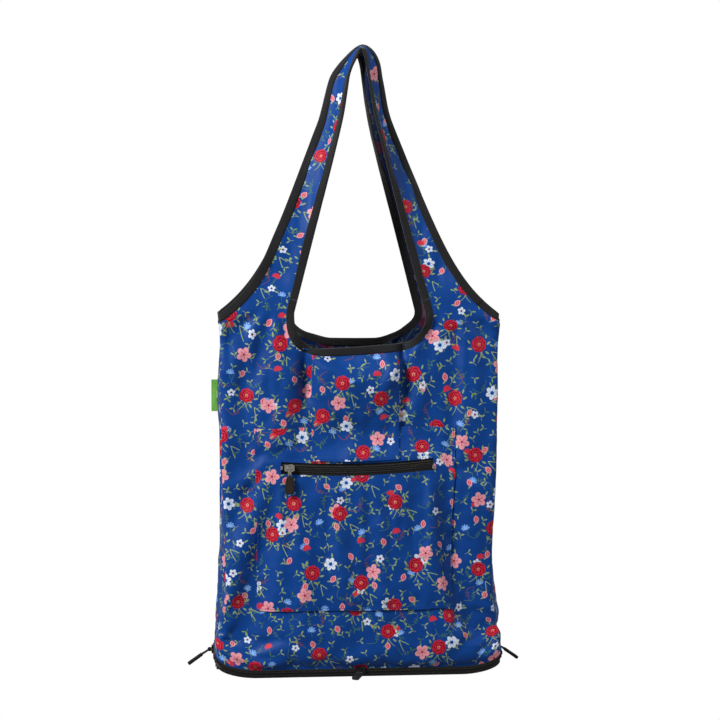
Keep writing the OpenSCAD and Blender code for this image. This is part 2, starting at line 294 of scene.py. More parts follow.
def repeat(name, template, centres, along, normal, materials):
    """Copies of a template (verts, faces; X along the path, Z out of the cloth) at each centre."""
    verts0, faces0 = template
    basis = pack(along, np.cross(normal, along), normal)
    verts = np.einsum("kij,vj->kvi", basis, np.asarray(verts0, float)) + centres[:, None]
    m = len(verts0)
    faces = [tuple(v + k * m for v in f) for k in range(len(centres)) for f in faces0]
    flat = verts.reshape(-1, 3)
    return mesh_object(name, flat, faces, flat[:, [0, 2]], materials)


def bead(length, width, height, sides=6, rings=4):
    """A grain-shaped bead along X: one stitch, or one tooth."""
    verts, faces = [], []
    turns = [2 * math.pi * k / sides for k in range(sides)]
    for i in range(rings):
        a = math.pi * (i + 0.5) / rings
        x, r = -math.cos(a) * length / 2, math.sin(a) ** 0.7 / 2
        verts += [(x, r * width * math.cos(b), r * height * math.sin(b)) for b in turns]
    for i in range(rings - 1):
        for k in range(sides):
            j = (k + 1) % sides
            faces.append((i * sides + k, i * sides + j, (i + 1) * sides + j, (i + 1) * sides + k))
    faces.append(tuple(range(sides))[::-1])
    faces.append(tuple(range((rings - 1) * sides, rings * sides)))
    return verts, faces


def stitches(name, path, normals, material):
    """A row of thread stitches lying along a path on the cloth."""
    pitch, length, width, lift = 3.0 * MM, 2.3 * MM, 0.55 * MM, 0.1 * MM
    s = arc_length(path)
    t = np.arange(pitch / 2, s[-1], pitch)
    along = unit(values_at(t + pitch / 4, s, path) - values_at(t - pitch / 4, s, path))
    normal = unit(values_at(t, s, normals))
    normal = unit(normal - along * np.sum(normal * along, axis=1, keepdims=True))
    centre = values_at(t, s, path) + normal * lift
    return repeat(name, bead(length, width, width * 0.8), centre, along, normal, (material,))


def join(name, objects):
    """Several new meshes as one piece."""
    bpy.ops.object.select_all(action="DESELECT")
    for o in objects:
        o.select_set(True)
    bpy.context.view_layer.objects.active = objects[0]
    bpy.ops.object.join()
    objects[0].name = name
    return objects[0]


# ---- Material graphs --------------------------------------------------------------------------

class Graph:
    """Short names for the shader nodes that the materials use."""

    def __init__(self, tree):
        self.tree = tree

    def node(self, kind, **settings):
        n = self.tree.nodes.new(kind)
        for key, value in settings.items():
            setattr(n, key, value)
        return n

    def put(self, socket, value):
        if isinstance(value, bpy.types.NodeSocket):
            self.tree.links.new(value, socket)
        else:
            socket.default_value = value

    def math(self, op, a, b=0.0, c=0.0, clamp=False):
        n = self.node("ShaderNodeMath", operation=op, use_clamp=clamp)
        for socket, value in zip(n.inputs, (a, b, c)):
            self.put(socket, value)
        return n.outputs[0]

    def vector(self, op, a, b=(0, 0, 0), c=(0, 0, 0)):
        n = self.node("ShaderNodeVectorMath", operation=op)
        for socket, value in zip(n.inputs, (a, b, c)):
            self.put(socket, value)
        return n.outputs["Value" if op in ("LENGTH", "DOT_PRODUCT") else "Vector"]

    def split(self, kind, value):
        """The parts of a vector or of a colour."""
        n = self.node("ShaderNodeSeparate" + kind)
        self.put(n.inputs[0], value)
        return n.outputs

    def mix(self, factor, a, b):
        n = self.node("ShaderNodeMix", data_type="RGBA")
        for socket, value in (("Factor", factor), (6, a), (7, b)):
            self.put(n.inputs[socket], value)
        return n.outputs[2]

    def below(self, value, edge, softness=0.35):
        """1 where value is under edge, 0 where it is over, with a soft step."""
        gap = self.math("SUBTRACT", edge, value)
        return self.math("MULTIPLY_ADD", gap, 1 / softness, 0.5, clamp=True)

    def times(self, a, b):
        return self.math("MULTIPLY", a, b)

    def scaled(self, a, by, plus):
        return self.math("MULTIPLY_ADD", a, by, plus)

    def size(self, a):
        return self.math("ABSOLUTE", a)

    def sine(self, a):
        return self.math("SINE", a)

    def both(self, *masks):
        """Where every mask holds."""
        mask = masks[0]
        for other in masks[1:]:
            mask = self.times(mask, other)
        return mask

    def either(self, a, b):
        return self.math("MAXIMUM", a, b)

    def noise(self, vector, scale, detail, rough=0.5):
        n = self.node("ShaderNodeTexNoise")
        self.put(n.inputs["Vector"], vector)
        for socket, value in (("Scale", scale), ("Detail", detail), ("Roughness", rough)):
            self.put(n.inputs[socket], value)
        return n.outputs["Fac"]


def rgb(r, g, b):
    """An sRGB colour from 0 to 255 as a linear colour."""
    parts = [c / 255 for c in (r, g, b)]
    return tuple(((c + 0.055) / 1.055) ** 2.4 if c > 0.0405 else c / 12.92 for c in parts) + (1.0,)


GROUND, GROUND_DEEP = rgb(0, 68, 148), rgb(0, 56, 128)
ROSE, ROSE_DARK, ROSE_LIGHT = rgb(196, 20, 46), rgb(132, 10, 34), rgb(212, 48, 70)
LEAF, LEAF_DARK, BLADE, TWIG = rgb(142, 164, 112), rgb(70, 112, 86), rgb(156, 178, 112), rgb(120, 70, 76)
PINK, PINK_DEEP, CORAL = rgb(232, 156, 166), rgb(206, 100, 122), rgb(206, 48, 68)
STAMEN = rgb(246, 196, 160)
WHITE, SKY, SKY_DEEP = rgb(220, 228, 242), rgb(132, 178, 238), rgb(66, 116, 204)
PRINT_SCALE = 1130      # print units in a metre: each is a little under a millimetre


class Motifs:
    """A scattered print: each layer drops one motif in each cell of its own turned grid, in print units."""

    def __init__(self, graph, place, colour):
        self.g, self.place, self.colour = graph, place, colour

    def scatter(self, cell, turn, seed, jitter, keep=1.0, tilt=1.0):
        """Local x, y and radius round each motif's centre, whether it is kept, and a random number.
        Motifs stand upright, give or take half of tilt."""
        g = self.g
        m = g.node("ShaderNodeMapping")
        g.put(m.inputs["Vector"], self.place)
        m.inputs["Rotation"].default_value = (0, 0, turn)
        m.inputs["Scale"].default_value = (1 / cell, 1 / cell, 1)
        m.inputs["Location"].default_value = (seed * 7.31, seed * 3.17, 0)
        q = m.outputs[0]
        dice = g.node("ShaderNodeTexWhiteNoise", noise_dimensions="3D")
        g.put(dice.inputs["Vector"], g.vector("ADD", g.vector("FLOOR", q), (0, 0, seed)))
        centre = g.vector("MULTIPLY_ADD", dice.outputs["Color"], (jitter, jitter, 0),
                          (0.5 - jitter / 2, 0.5 - jitter / 2, 0))
        local = g.vector("SUBTRACT", g.vector("FRACTION", q), centre)
        spin = g.node("ShaderNodeVectorRotate", rotation_type="Z_AXIS")
        g.put(spin.inputs["Vector"], g.vector("MULTIPLY", local, (cell, cell, 0)))
        g.put(spin.inputs["Angle"], g.scaled(dice.outputs["Value"], tilt, -turn - tilt / 2))
        v = spin.outputs[0]
        x, y, _ = g.split("XYZ", v)
        blue = g.split("Color", dice.outputs["Color"])[2]
        kept = g.math("LESS_THAN", blue, keep)
        return x, y, g.vector("LENGTH", v), kept, blue

    def petals(self, theta, count, radius, depth):
        """The rim of a flower with that many petals, notched by depth of its radius."""
        g = self.g
        wave = g.math("POWER", g.size(g.math("COSINE", g.times(theta, count / 2))), 0.6)
        return g.scaled(wave, radius * depth, radius * (1 - depth))

    def leaf(self, x, y, long, wide):
        """A pointed leaf centred on x, y = 0, along x."""
        g = self.g
        bow = g.math("POWER", g.size(g.math("DIVIDE", x, long / 2)), 2.0)
        side = g.math("DIVIDE", g.size(y), wide / 2)
        return g.below(g.math("ADD", bow, side), 1.0, 0.25)

    def turned(self, x, y, angle, dx=0.0, dy=0.0):
        """x, y about (dx, dy), turned by angle."""
        g = self.g
        c, s = math.cos(angle), math.sin(angle)
        x = g.math("SUBTRACT", x, dx)
        y = g.math("SUBTRACT", y, dy)
        return g.scaled(x, c, g.times(y, s)), g.scaled(x, -s, g.times(y, c))

    def stroke(self, x, y, long, bend, wide):
        """A thin curved line along x from 0 to long, bent by bend at its far end."""
        g = self.g
        curve = g.times(g.math("POWER", g.size(x), 2.0), bend / long ** 2)
        off = g.size(g.math("SUBTRACT", y, curve))
        inside = g.both(g.below(x, long, 0.4), g.below(g.times(x, -1.0), 0.0, 0.4))
        return g.both(g.below(off, wide / 2), inside)

    def paint(self, colour, *masks):
        """Lays a colour over the print where all the masks hold."""
        self.colour = self.g.mix(self.g.both(*masks), self.colour, colour)

    # Each layer below draws one kind of motif.

    def leaves(self, cell, turn, seed, light, dark):
        x, y, _, kept, dice = self.scatter(cell, turn, seed, 0.5, 0.64, 5.0)
        g = self.g
        pair_of_leaves = self.leaf(*self.turned(g.size(x), y, 0.75, 2.2, 1.3), 5.4, 1.8)
        stem = self.stroke(g.times(y, -1.0), x, 5.0, 1.2, 0.5)
        tint = g.mix(g.math("GREATER_THAN", dice, 0.45), light, dark)
        self.paint(tint, g.either(pair_of_leaves, stem), kept)

    def sprigs(self, cell, turn, seed, colour):
        x, y, r, kept, _ = self.scatter(cell, turn, seed, 0.4, 0.7, 4.0)
        g = self.g
        stem = self.stroke(x, y, 14.0, 4.0, 0.7)
        second = self.stroke(*self.turned(x, y, 2.2), 11.0, -3.0, 0.7)
        wave = g.sine(g.times(x, 1.9))
        side = g.size(g.math("SUBTRACT", g.size(g.scaled(x, -0.14, y)), 1.5))
        buds = g.both(g.below(side, wave, 0.4), g.below(r, 9.0), g.math("GREATER_THAN", x, 2.0))
        self.paint(colour, g.either(g.either(stem, second), buds), kept)

    def buds(self, cell, turn, seed, body, rim):
        y, x, _, kept, _ = self.scatter(cell, turn, seed, 0.5, 0.75, 1.9)
        self.paint(LEAF, self.leaf(*self.turned(x, y, 0.9, -5.2, -2.4), 5.0, 1.8), kept)
        for colour, long, wide in ((rim, 10.0, 6.6), (body, 6.8, 3.8), (rim, 6.0, 0.9)):
            self.paint(colour, self.leaf(x, y, long, wide), kept)

    def tulips(self, cell, turn, seed, body, shade):
        x, y, r, kept, _ = self.scatter(cell, turn, seed, 0.5, 0.8)
        g = self.g
        theta = g.math("ARCTAN2", y, x)
        down = g.times(y, -1.0)
        streak = g.below(g.sine(g.times(theta, 9.0)), -0.2, 0.6)
        self.paint(LEAF_DARK, self.stroke(down, x, 8.0, 1.6, 0.6), kept)
        colour = g.mix(g.both(streak, g.below(2.2, r)), body, shade)
        self.paint(colour, g.below(r, self.petals(theta, 9, 5.2, 0.35)), g.below(down, 1.6), kept)

    def daisies(self, cell, turn, seed, count, radius, depth, body, heart, heart_r, keep, shade):
        x, y, r, kept, _ = self.scatter(cell, turn, seed, 0.42, keep, 3.0)
        g = self.g
        theta = g.math("ARCTAN2", y, x)
        vein = g.size(g.sine(g.times(theta, count / 2)))
        inner = g.both(g.below(r, radius * 0.5, radius * 0.35), g.below(vein, 0.55, 0.4))
        self.paint(LEAF, self.leaf(*self.turned(x, y, 0.5, radius + 2.5, 2.0), 6.5, 2.2), kept)
        self.paint(g.mix(inner, body, shade), g.below(r, self.petals(theta, count, radius, depth)), kept)
        self.paint(heart, g.below(r, heart_r), kept)

    def roses(self, cell, turn, seed):
        x, y, r, kept, _ = self.scatter(cell, turn, seed, 0.34, 0.95, 0.7)
        g = self.g
        theta = g.math("ARCTAN2", y, x)
        # Twigs with leaves below the flower: the same on both sides
        mirrored = g.size(x)
        twig = self.stroke(g.scaled(y, -1.0, -7.5), mirrored, 12.0, 7.0, 0.9)
        self.paint(LEAF, twig, kept)
        for leaf in ((0.4, 12.2, -2.0, 6.2, 2.4), (1.1, 11.5, 6.0, 5.6, 2.2), (-0.8, 7.4, -12.0, 6.0, 2.2)):
            self.paint(LEAF, self.leaf(*self.turned(mirrored, y, *leaf[:3]), *leaf[3:]), kept)
        # A folded blade drawn as two long lines that meet
        u, v = self.turned(x, y, -0.35, 12.5, -12.5)
        second = self.stroke(*self.turned(u, v, -0.95), 16.0, 1.8, 0.85)
        self.paint(BLADE, g.either(self.stroke(u, v, 13.0, -1.5, 0.85), second), kept)
        rim = self.petals(theta, 8, 9.3, 0.13)
        self.paint(ROSE, g.below(r, rim), kept)
        # Petal edges as a dark spiral that swings in and out with the angle
        lobes = g.sine(g.scaled(theta, 5.0, g.times(r, -0.9)))
        rings = g.sine(g.scaled(r, 2.05, g.scaled(lobes, 0.95, theta)))
        self.paint(ROSE_DARK, g.below(0.25, rings, 0.7), g.below(r, g.math("SUBTRACT", rim, 0.5)), kept)
        self.paint(ROSE_LIGHT, g.below(rings, -0.75, 0.3), g.below(r, 8.2), kept)
        # A ring of stamens round the heart
        dots = g.below(0.2, g.sine(g.times(theta, 5.0)), 0.4)
        self.paint(STAMEN, g.below(r, 1.9), g.below(0.8, r), dots, kept)


def print_group():
    """The floral print as a node group: print coordinates in, colour out."""
    tree = bpy.data.node_groups.new("floral_print", "ShaderNodeTree")
    tree.interface.new_socket("Vector", in_out="INPUT", socket_type="NodeSocketVector")
    tree.interface.new_socket("Color", in_out="OUTPUT", socket_type="NodeSocketColor")
    g = Graph(tree)
    source = g.node("NodeGroupInput").outputs[0]
    place = g.vector("MULTIPLY", source, (PRINT_SCALE, PRINT_SCALE, 0))
    p = Motifs(g, place, g.mix(g.noise(place, 0.02, 3.0), GROUND_DEEP, GROUND))
    p.sprigs(33, 0.4, 11, LEAF_DARK)
    p.leaves(17.5, 0.9, 3, LEAF, LEAF_DARK)
    p.sprigs(47, 1.3, 23, TWIG)
    p.leaves(21, 0.2, 5, LEAF, rgb(126, 156, 92))
    p.tulips(53, 0.6, 7, SKY, SKY_DEEP)
    p.buds(43, 1.1, 13, CORAL, PINK)
    p.tulips(68, 1.4, 17, ROSE_LIGHT, CORAL)
    p.daisies(58, 0.3, 19, 5, 4.9, 0.55, WHITE, ROSE_DARK, 1.3, 0.85, SKY)
    p.daisies(79, 0.75, 29, 6, 8.0, 0.5, WHITE, GROUND, 2.2, 0.8, SKY)
    p.daisies(71, 1.2, 31, 5, 9.4, 0.5, PINK, ROSE_DARK, 1.3, 0.85, PINK_DEEP)
    p.roses(60, 0.5, 37)
    g.put(g.node("NodeGroupOutput").inputs[0], p.colour)
    return tree


def new_material(name, colour, roughness, sheen=0.0, metallic=0.0):
    """A material with one principled shader. Returns the material, its graph and that shader."""
    m = bpy.data.materials.new(name)
    m.use_nodes = True
    g = Graph(m.node_tree)
    shader = m.node_tree.nodes["Principled BSDF"]
    settings = {"Base Color": colour, "Roughness": roughness, "Metallic": metallic, "Sheen Weight": sheen,
                "Specular IOR Level": 0.5 if metallic else 0.18}
    for socket, value in settings.items():
        shader.inputs[socket].default_value = value
    return m, g, shader


def add_bump(g, shader, height, distance, strength):
    bump = g.node("ShaderNodeBump")
    for socket, value in (("Distance", distance), ("Strength", strength), ("Height", height)):
        g.put(bump.inputs[socket], value)
    g.put(shader.inputs["Normal"], bump.outputs[0])


def print_place(g):
    return g.node("ShaderNodeUVMap", uv_map="print").outputs[0]


def weave(g, place, pitch):
    """Height of a plain weave: over and under threads pitch apart."""
    x, y, _ = g.split("XYZ", g.vector("MULTIPLY", place, (2 * math.pi / pitch,) * 3))
    return g.times(g.sine(x), g.sine(y))


def cloth_material(name, group, inside):
    """Printed polyester. Its inside shows the print faintly, mixed most of the way to dark navy as painted
    shade.
    """
    m, g, shader = new_material(name, GROUND, 0.5, sheen=0.04)
    place = print_place(g)
    art = g.node("ShaderNodeGroup")
    art.node_tree = group
    g.put(art.inputs[0], place)
    colour = art.outputs[0]
    if inside:
        # painted shade: the inside faces are mixed most of the way to dark navy
        colour = g.mix(0.82, colour, rgb(8, 22, 56))
    g.put(shader.inputs["Base Color"], colour)
    fine = g.noise(g.vector("MULTIPLY", place, (1000, 1000, 0)), 0.9, 3.0)
    g.put(shader.inputs["Roughness"], g.scaled(fine, 0.16, 0.4))
    height = g.math("ADD", g.times(weave(g, place, 0.7 * MM), 0.35), fine)
    add_bump(g, shader, height, 0.12 * MM, 0.6)
    return m


def tape_material(name, colour, light, pitch):
    """Woven black tape: fine ribs across, and lint that lightens it unevenly."""
    m, g, shader = new_material(name, colour, 0.75, sheen=0.25)
    place = print_place(g)
    rib = weave(g, place, pitch)
    lint = g.noise(g.vector("MULTIPLY", place, (1000, 1000, 0)), 0.35, 4.0)
    g.put(shader.inputs["Base Color"], g.mix(g.times(lint, 0.6), colour, light))
    add_bump(g, shader, g.math("ADD", rib, lint), 0.15 * MM, 0.7)
    return m


def plain_material(name, colour, light, roughness, metallic, scale, bump):
    """Metal, plastic or rubber with uneven colour and finish from noise in object space."""
    m, g, shader = new_material(name, colour, roughness, metallic=metallic)
    place = g.node("ShaderNodeTexCoord").outputs["Object"]
    grain = g.noise(place, scale, 4.0, 0.6)
    g.put(shader.inputs["Base Color"], g.mix(grain, colour, light))
    g.put(shader.inputs["Roughness"], g.scaled(grain, 0.3, roughness - 0.15))
    add_bump(g, shader, grain, bump, 0.5)
    return m


PRINT = print_group()
CLOTH = cloth_material("printed_cloth", PRINT, False)
SHADED_INSIDE = cloth_material("cloth_inside", PRINT, True)
BINDING = tape_material("binding_tape", rgb(11, 11, 13), rgb(34, 34, 38), 0.9 * MM)
ZIP_TAPE = tape_material("zip_tape", rgb(13, 13, 14), rgb(36, 35, 35), 0.7 * MM)
COIL = plain_material("zip_coil", rgb(22, 21, 21), rgb(58, 56, 54), 0.38, 0.0, 900, 0.05 * MM)
ANTIQUE = plain_material("antique_metal", rgb(172, 165, 152), rgb(240, 236, 226), 0.26, 1.0, 420, 0.05 * MM)
GUNMETAL = plain_material("gunmetal", rgb(26, 26, 28), rgb(84, 84, 88), 0.36, 1.0, 500, 0.05 * MM)
LEATHER = plain_material("pull_leather", rgb(26, 21, 18), rgb(58, 48, 42), 0.55, 0.0, 1100, 0.15 * MM)
RUBBER = plain_material("pull_rubber", rgb(15, 15, 16), rgb(46, 46, 48), 0.5, 0.0, 800, 0.08 * MM)
CORD = tape_material("pull_cord", rgb(18, 18, 19), rgb(50, 50, 52), 0.5 * MM)
THREAD = plain_material("blue_thread", rgb(8, 40, 112), rgb(18, 70, 165), 0.6, 0.0, 2000, 0.03 * MM)
DARK_THREAD = plain_material("black_thread", rgb(14, 14, 16), rgb(52, 52, 56), 0.6, 0.0, 2000, 0.03 * MM)
LABEL = tape_material("label_satin", rgb(98, 176, 58), rgb(150, 212, 100), 0.45 * MM)


# ---- The bag's skin: where any point of it is --------------------------------------------------

FACE_HALF = FLAT_HALF + CORNER_R * math.pi / 2      # from the middle of the front to its side seam
SIDE_L = 2 * SEAM_Y
ROUND = 4 * FACE_HALF + 2 * SIDE_L                  # all the way round
BACK_S = 2 * FACE_HALF + SIDE_L                     # the middle of the back
SKIN_TOP = 0.43
ZIP_Z = (ZIP_BOX[0].z + ZIP_BOX[1].z) / 2


def skin(s, z):
    """Rest position and outward direction. s runs round the bag, rightwards from the front's middle."""
    s, z = pair(s, z)
    s = (s + FACE_HALF) % ROUND - FACE_HALF
    back = s > FACE_HALF + SIDE_L
    on_back = back & (s < 3 * FACE_HALF + SIDE_L)
    right = (s > FACE_HALF) & ~back
    left = back & ~on_back
    l = np.where(on_back, s - BACK_S, s)
    a = np.clip(np.abs(l) - FLAT_HALF, 0, FACE_HALF - FLAT_HALF) / CORNER_R
    x = np.sign(l) * (np.minimum(np.abs(l), FLAT_HALF) + CORNER_R * np.sin(a))
    up = np.sin(math.pi * np.clip(z / SIDE_H, 0, 1))
    belly = BULGE * np.clip(1 - (x / FLAT_HALF) ** 2, 0, 1) * up
    y = -(SEAM_Y + CORNER_R * np.cos(a)) - belly
    y = y + (HALF_D - TOP_Y) * np.clip(z - SIDE_H, 0, None) / (TOP_H - SIDE_H)
    ox, oy = np.sign(l) * np.sin(a), -np.cos(a)
    side_y = np.where(right, s - FACE_HALF - SEAM_Y, SEAM_Y - (s - 3 * FACE_HALF - SIDE_L))
    flip = np.where(on_back, -1.0, 1.0)
    x = np.where(right, HALF_W, np.where(left, -HALF_W, x * flip))
    y = np.where(right | left, side_y, y * flip)
    ox = np.where(right, 1.0, np.where(left, -1.0, ox * flip))
    oy = np.where(right | left, 0.0, oy * flip)
    return pack(x, y, z), pack(ox, oy, np.zeros_like(ox))


def fractal(points, scale, seed, octaves=2):
    """Smooth noise about 0, from -1 to 1, at each point."""
    shape = np.shape(points)[:-1]
    flat = np.reshape(points, (-1, 3)) * scale + seed * 11.7
    values = [noise.fractal(Vector(p), 1.0, 2.0, octaves, noise_basis="PERLIN_ORIGINAL") for p in flat]
    return np.reshape(values, shape)


def front_folds(x, z):
    """Depth (out is +) of the folds that the straps and the centre band pull into the front."""
    out = np.zeros_like(x)
    for side, phase in ((-1, 0.4), (1, 1.9)):
        dx, dz = x - side * 0.094, SIDE_H + 0.02 - z
        reach = np.hypot(dx, dz)
        bearing = np.arctan2(dx, np.maximum(dz, 1e-4))
        fading = np.exp(-reach / 0.075) * smooth(0.012, 0.05, reach)
        out += 4.6 * MM * np.sin(bearing * 11 + phase + 14 * reach) * fading
        edge = BAND_BOX[0].x if side < 0 else BAND_BOX[1].x
        beside = ((x - edge) * side - 0.0065) / 0.0070
        pleat = np.exp(-beside ** 2) * smooth(0.29, 0.325, z) * (1 - smooth(0.372, 0.394, z))
        out -= (11.0 if side > 0 else 7.5) * MM * pleat
        across = ((x - edge) * side - 0.0255) / 0.011
        roll = np.exp(-across ** 2) * smooth(0.28, 0.33, z) * (1 - smooth(0.37, 0.40, z))
        out += 3.2 * MM * roll
    return out


def between(grid, i, j):
    """A grid of vectors read between its points, at row i and column j."""
    i0 = np.clip(i.astype(int), 0, grid.shape[0] - 2)
    j0 = np.clip(j.astype(int), 0, grid.shape[1] - 2)
    u, v = np.clip(i - i0, 0, 1)[..., None], np.clip(j - j0, 0, 1)[..., None]
    low = grid[i0, j0] * (1 - u) + grid[i0 + 1, j0] * u
    high = grid[i0, j0 + 1] * (1 - u) + grid[i0 + 1, j0 + 1] * u
    return low * (1 - v) + high * v


def skin_noise(points):
    """Outward displacement from soft creases that run mostly up and down."""
    z = points[..., 2]
    broad = fractal(points * [1, 1, 0.30], 13, 3)
    crease = fractal(points * [1, 1, 0.45], 38, 5)
    fine = fractal(points, 95, 8)
    low = smooth(0.0, 0.05, z - 0.012)
    high = 1 - smooth(SIDE_H - 0.02, SIDE_H, z)
    return (2.6 * broad + 2.3 * crease + 0.8 * fine) * MM * low * (0.35 + 0.65 * high)


def calm(points):
    """Less movement where a zip's slider runs or the label is sewn on."""
    x, y, z = np.moveaxis(points, -1, 0)
    by_zip = np.exp(-((z - ZIP_Z) / 0.020) ** 2) * (1 - smooth(0.088, 0.12, np.abs(x - POCKET_X))) * (y < 0)
    root = np.array([LABEL_BOX[1].x, LABEL_BOX[0].y, (LABEL_BOX[0].z + LABEL_BOX[1].z) / 2])
    by_label = np.exp(-(np.linalg.norm(points - root, axis=-1) / 0.040) ** 2)
    by_side_zip = smooth(FLAT_HALF + 2 * MM, HALF_W - 1 * MM, np.abs(x)) * (1 - smooth(0.028, 0.060, z))
    return (1 - 0.85 * by_zip) * (1 - 0.6 * by_label) * (1 - 0.85 * by_side_zip)


# A negative shrink_min makes the cloth larger than its frame
CLOTH_SETTINGS = {
    "quality": 6, "mass": 0.12, "tension_stiffness": 18, "compression_stiffness": 18, "shear_stiffness": 6,
    "bending_stiffness": 0.25, "air_damping": 3, "vertex_group_mass": "held", "shrink_min": -0.03,
    "use_pressure": True, "uniform_pressure_force": 0.25}
FURTHEST = 9 * MM       # no fold of the simulated cloth strays further than this


def hang_cloth(columns=130, rows=80, frames=24):
    """Hangs the bag's skin as cloth, cut a little too large for its frame, and gives how far it moved."""
    s = np.linspace(0, ROUND, columns, endpoint=False) - FACE_HALF
    z = np.linspace(0.012, SIDE_H, rows)
    ss, zz = np.meshgrid(s, z, indexing="ij")
    rest, out = skin(ss, zz)
    x, y = rest[..., 0], rest[..., 1]
    start = rest + out * (1.2 * MM * fractal(rest, 30, 61))[..., None]
    opens = (np.abs(x[:, 0]) < HEM_HALF - 8 * MM) & (np.abs(y[:, 0]) > SEAM_Y)
    tops = np.where(opens, np.where(y[:, 0] < 0, HEM_H, BACK_HEM_H), SIDE_H)
    faces = []
    for i in range(columns):
        k = (i + 1) % columns
        for j in range(rows - 1):
            if z[j + 1] <= tops[i]:
                faces.append((i * rows + j, k * rows + j, k * rows + j + 1, i * rows + j + 1))
    obj = mesh_object("hanging_cloth", start.reshape(-1, 3), faces)
    held = (zz < 0.016) | (zz > SIDE_H - 8 * MM)
    held |= (np.abs(zz - ZIP_Z) < 7 * MM) & (np.abs(x - POCKET_X) < 0.088) & (y < -SEAM_Y)
    group = obj.vertex_groups.new(name="held")
    group.add(np.flatnonzero(held.ravel()).tolist(), 1.0, "REPLACE")
    mod = obj.modifiers.new("cloth", "CLOTH")
    for key, value in CLOTH_SETTINGS.items():
        setattr(mod.settings, key, value)
    mod.point_cache.frame_start = 1
    mod.point_cache.frame_end = frames
    for frame_number in range(1, frames + 1):
        bpy.context.scene.frame_set(frame_number)
    graph = bpy.context.evaluated_depsgraph_get()
    hung = obj.evaluated_get(graph).to_mesh()
    after = np.empty(len(hung.vertices) * 3, np.float32)
    hung.vertices.foreach_get("co", after)
    moved = after.reshape(columns, rows, 3) - rest
    bpy.data.objects.remove(obj)
    bpy.context.scene.frame_set(1)
    # above each opening the grid is only a carrier: it follows the hem below it
    for i in np.flatnonzero(opens):
        last = np.searchsorted(z, tops[i]) - 1
        moved[i, last + 1:] = moved[i, last]
    size = np.linalg.norm(moved, axis=-1, keepdims=True)
    moved *= np.tanh(size / FURTHEST) * FURTHEST / np.maximum(size, 1e-9)
    moved *= calm(rest)[..., None]
    return s, z, moved


# How far the sides are drawn in, at these heights. They spread a little at the base.
WAIST_Z = (0.0, 0.035, 0.070, 0.110, 0.150, 0.200, 0.280, 0.340, 0.400)
WAIST_IN = (0.0, -0.0020, 0.001, 0.0070, 0.0100, 0.0120, 0.0125, 0.0095, 0.0090)


class Skin:
    """The skin with its folds, kept on a grid so that every part lying on it moves alike."""

    def __init__(self, columns=220, rows=144):
        self.s = np.linspace(-FACE_HALF, ROUND - FACE_HALF, columns)
        self.z = np.linspace(0, SKIN_TOP, rows)
        s, z = np.meshgrid(self.s, self.z, indexing="ij")
        points, out = skin(s, z)
        amount = skin_noise(points)
        amount += np.where(points[..., 1] < -SEAM_Y, front_folds(points[..., 0], z), 0.0)
        amount -= np.interp(z, WAIST_Z, WAIST_IN) * np.abs(out[..., 0])
        amount *= calm(points)
        amount[-1] = amount[0]
        self.move = out * amount[..., None]
        self.move[..., 2] += hem_rise(points) + base_lift(points)
        self.move += self.resample(*hang_cloth())
        fade = 1 - smooth(SIDE_H - 0.012, FOLD_Z - 0.003, z)
        self.move *= fade[..., None]

    def resample(self, s, z, moved):
        """A displacement grid over s and z, brought to this skin's grid."""
        i = np.interp(self.s, np.append(s, s[0] + ROUND), np.arange(len(s) + 1))
        j = np.interp(self.z, z, np.arange(len(z)))
        return between(np.concatenate([moved, moved[:1]]), *np.meshgrid(i, j, indexing="ij"))

    def at(self, s, z):
        """The displacement at s, z."""
        s, z = pair(s, z)
        i = (s + FACE_HALF) % ROUND / ROUND * (len(self.s) - 1)
        return between(self.move, i, z / SKIN_TOP * (len(self.z) - 1))

    def point(self, s, z, off=0.0):
        """The skin at s, z, pushed out by off."""
        p, out = skin(s, z)
        off = np.broadcast_to(np.asarray(off, float), p.shape[:-1])
        return p + self.at(s, z) + out * off[..., None]


def hem_rise(points):
    """The front hem tilts up to the right, and the back hem is drawn up on both sides of its middle."""
    x, y, z = np.moveaxis(points, -1, 0)
    tilt = 4.5 * MM * np.clip(x / HEM_HALF, -1.2, 1.2)
    by_front = (y < -SEAM_Y) * smooth(0.30, HEM_H, z) * (1 - smooth(HEM_H + 0.004, SIDE_H - 0.004, z))
    bowl = 6.0 * MM * smooth(0.024, 0.056, np.abs(x)) * (1 - smooth(0.075, 0.110, np.abs(x)))
    by_back = (y > SEAM_Y) * smooth(0.30, BACK_HEM_H, z) * (1 - smooth(BACK_HEM_H, SIDE_H, z))
    return tilt * by_front + bowl * by_back


def base_lift(points):
    """How far the front corners of the base are drawn up."""
    x, y, z = np.moveaxis(points, -1, 0)
    u = 0.97 * np.clip((np.abs(x) - 0.112) / (HALF_W - 0.112), 0, 1)
    lift = 19 * MM * (1 - np.sqrt(1 - u ** 2))
    return lift * (1 - smooth(-0.044, 0.004, y)) * (1 - smooth(0.012, 0.07, z))


SKIN = Skin()


# ---- Edges of the cloth ------------------------------------------------------------------------

def strap_t(z):
    return np.clip((np.asarray(z, float) - SIDE_H) / (TOP_H - SIDE_H), 0, 1)


def strap_inner(t):
    return HEM_HALF * (1 - t) ** 1.1


def strap_outer(t):
    return 0.115 * (1 - t) ** 0.9 + 0.0365 * np.exp(-t / 0.14) * (1 - t)


def strap_crown(t):
    """Rounds a handle's top, where its two straps meet."""
    return smooth(0.70, 0.92, t) * np.sqrt(np.clip(1 - np.clip((t - 0.92) / 0.08, 0, 1) ** 2, 0, 1))


def outer_edge(z):
    """Half width of the front at height z: the side seam, then the armhole's edge."""
    z = np.asarray(z, float)
    corner = strap_outer(0.0)
    swing = smooth(SIDE_H - 0.008, SIDE_H, z)
    return np.where(z < SIDE_H, FACE_HALF + (corner - FACE_HALF) * swing, strap_outer(strap_t(z)))


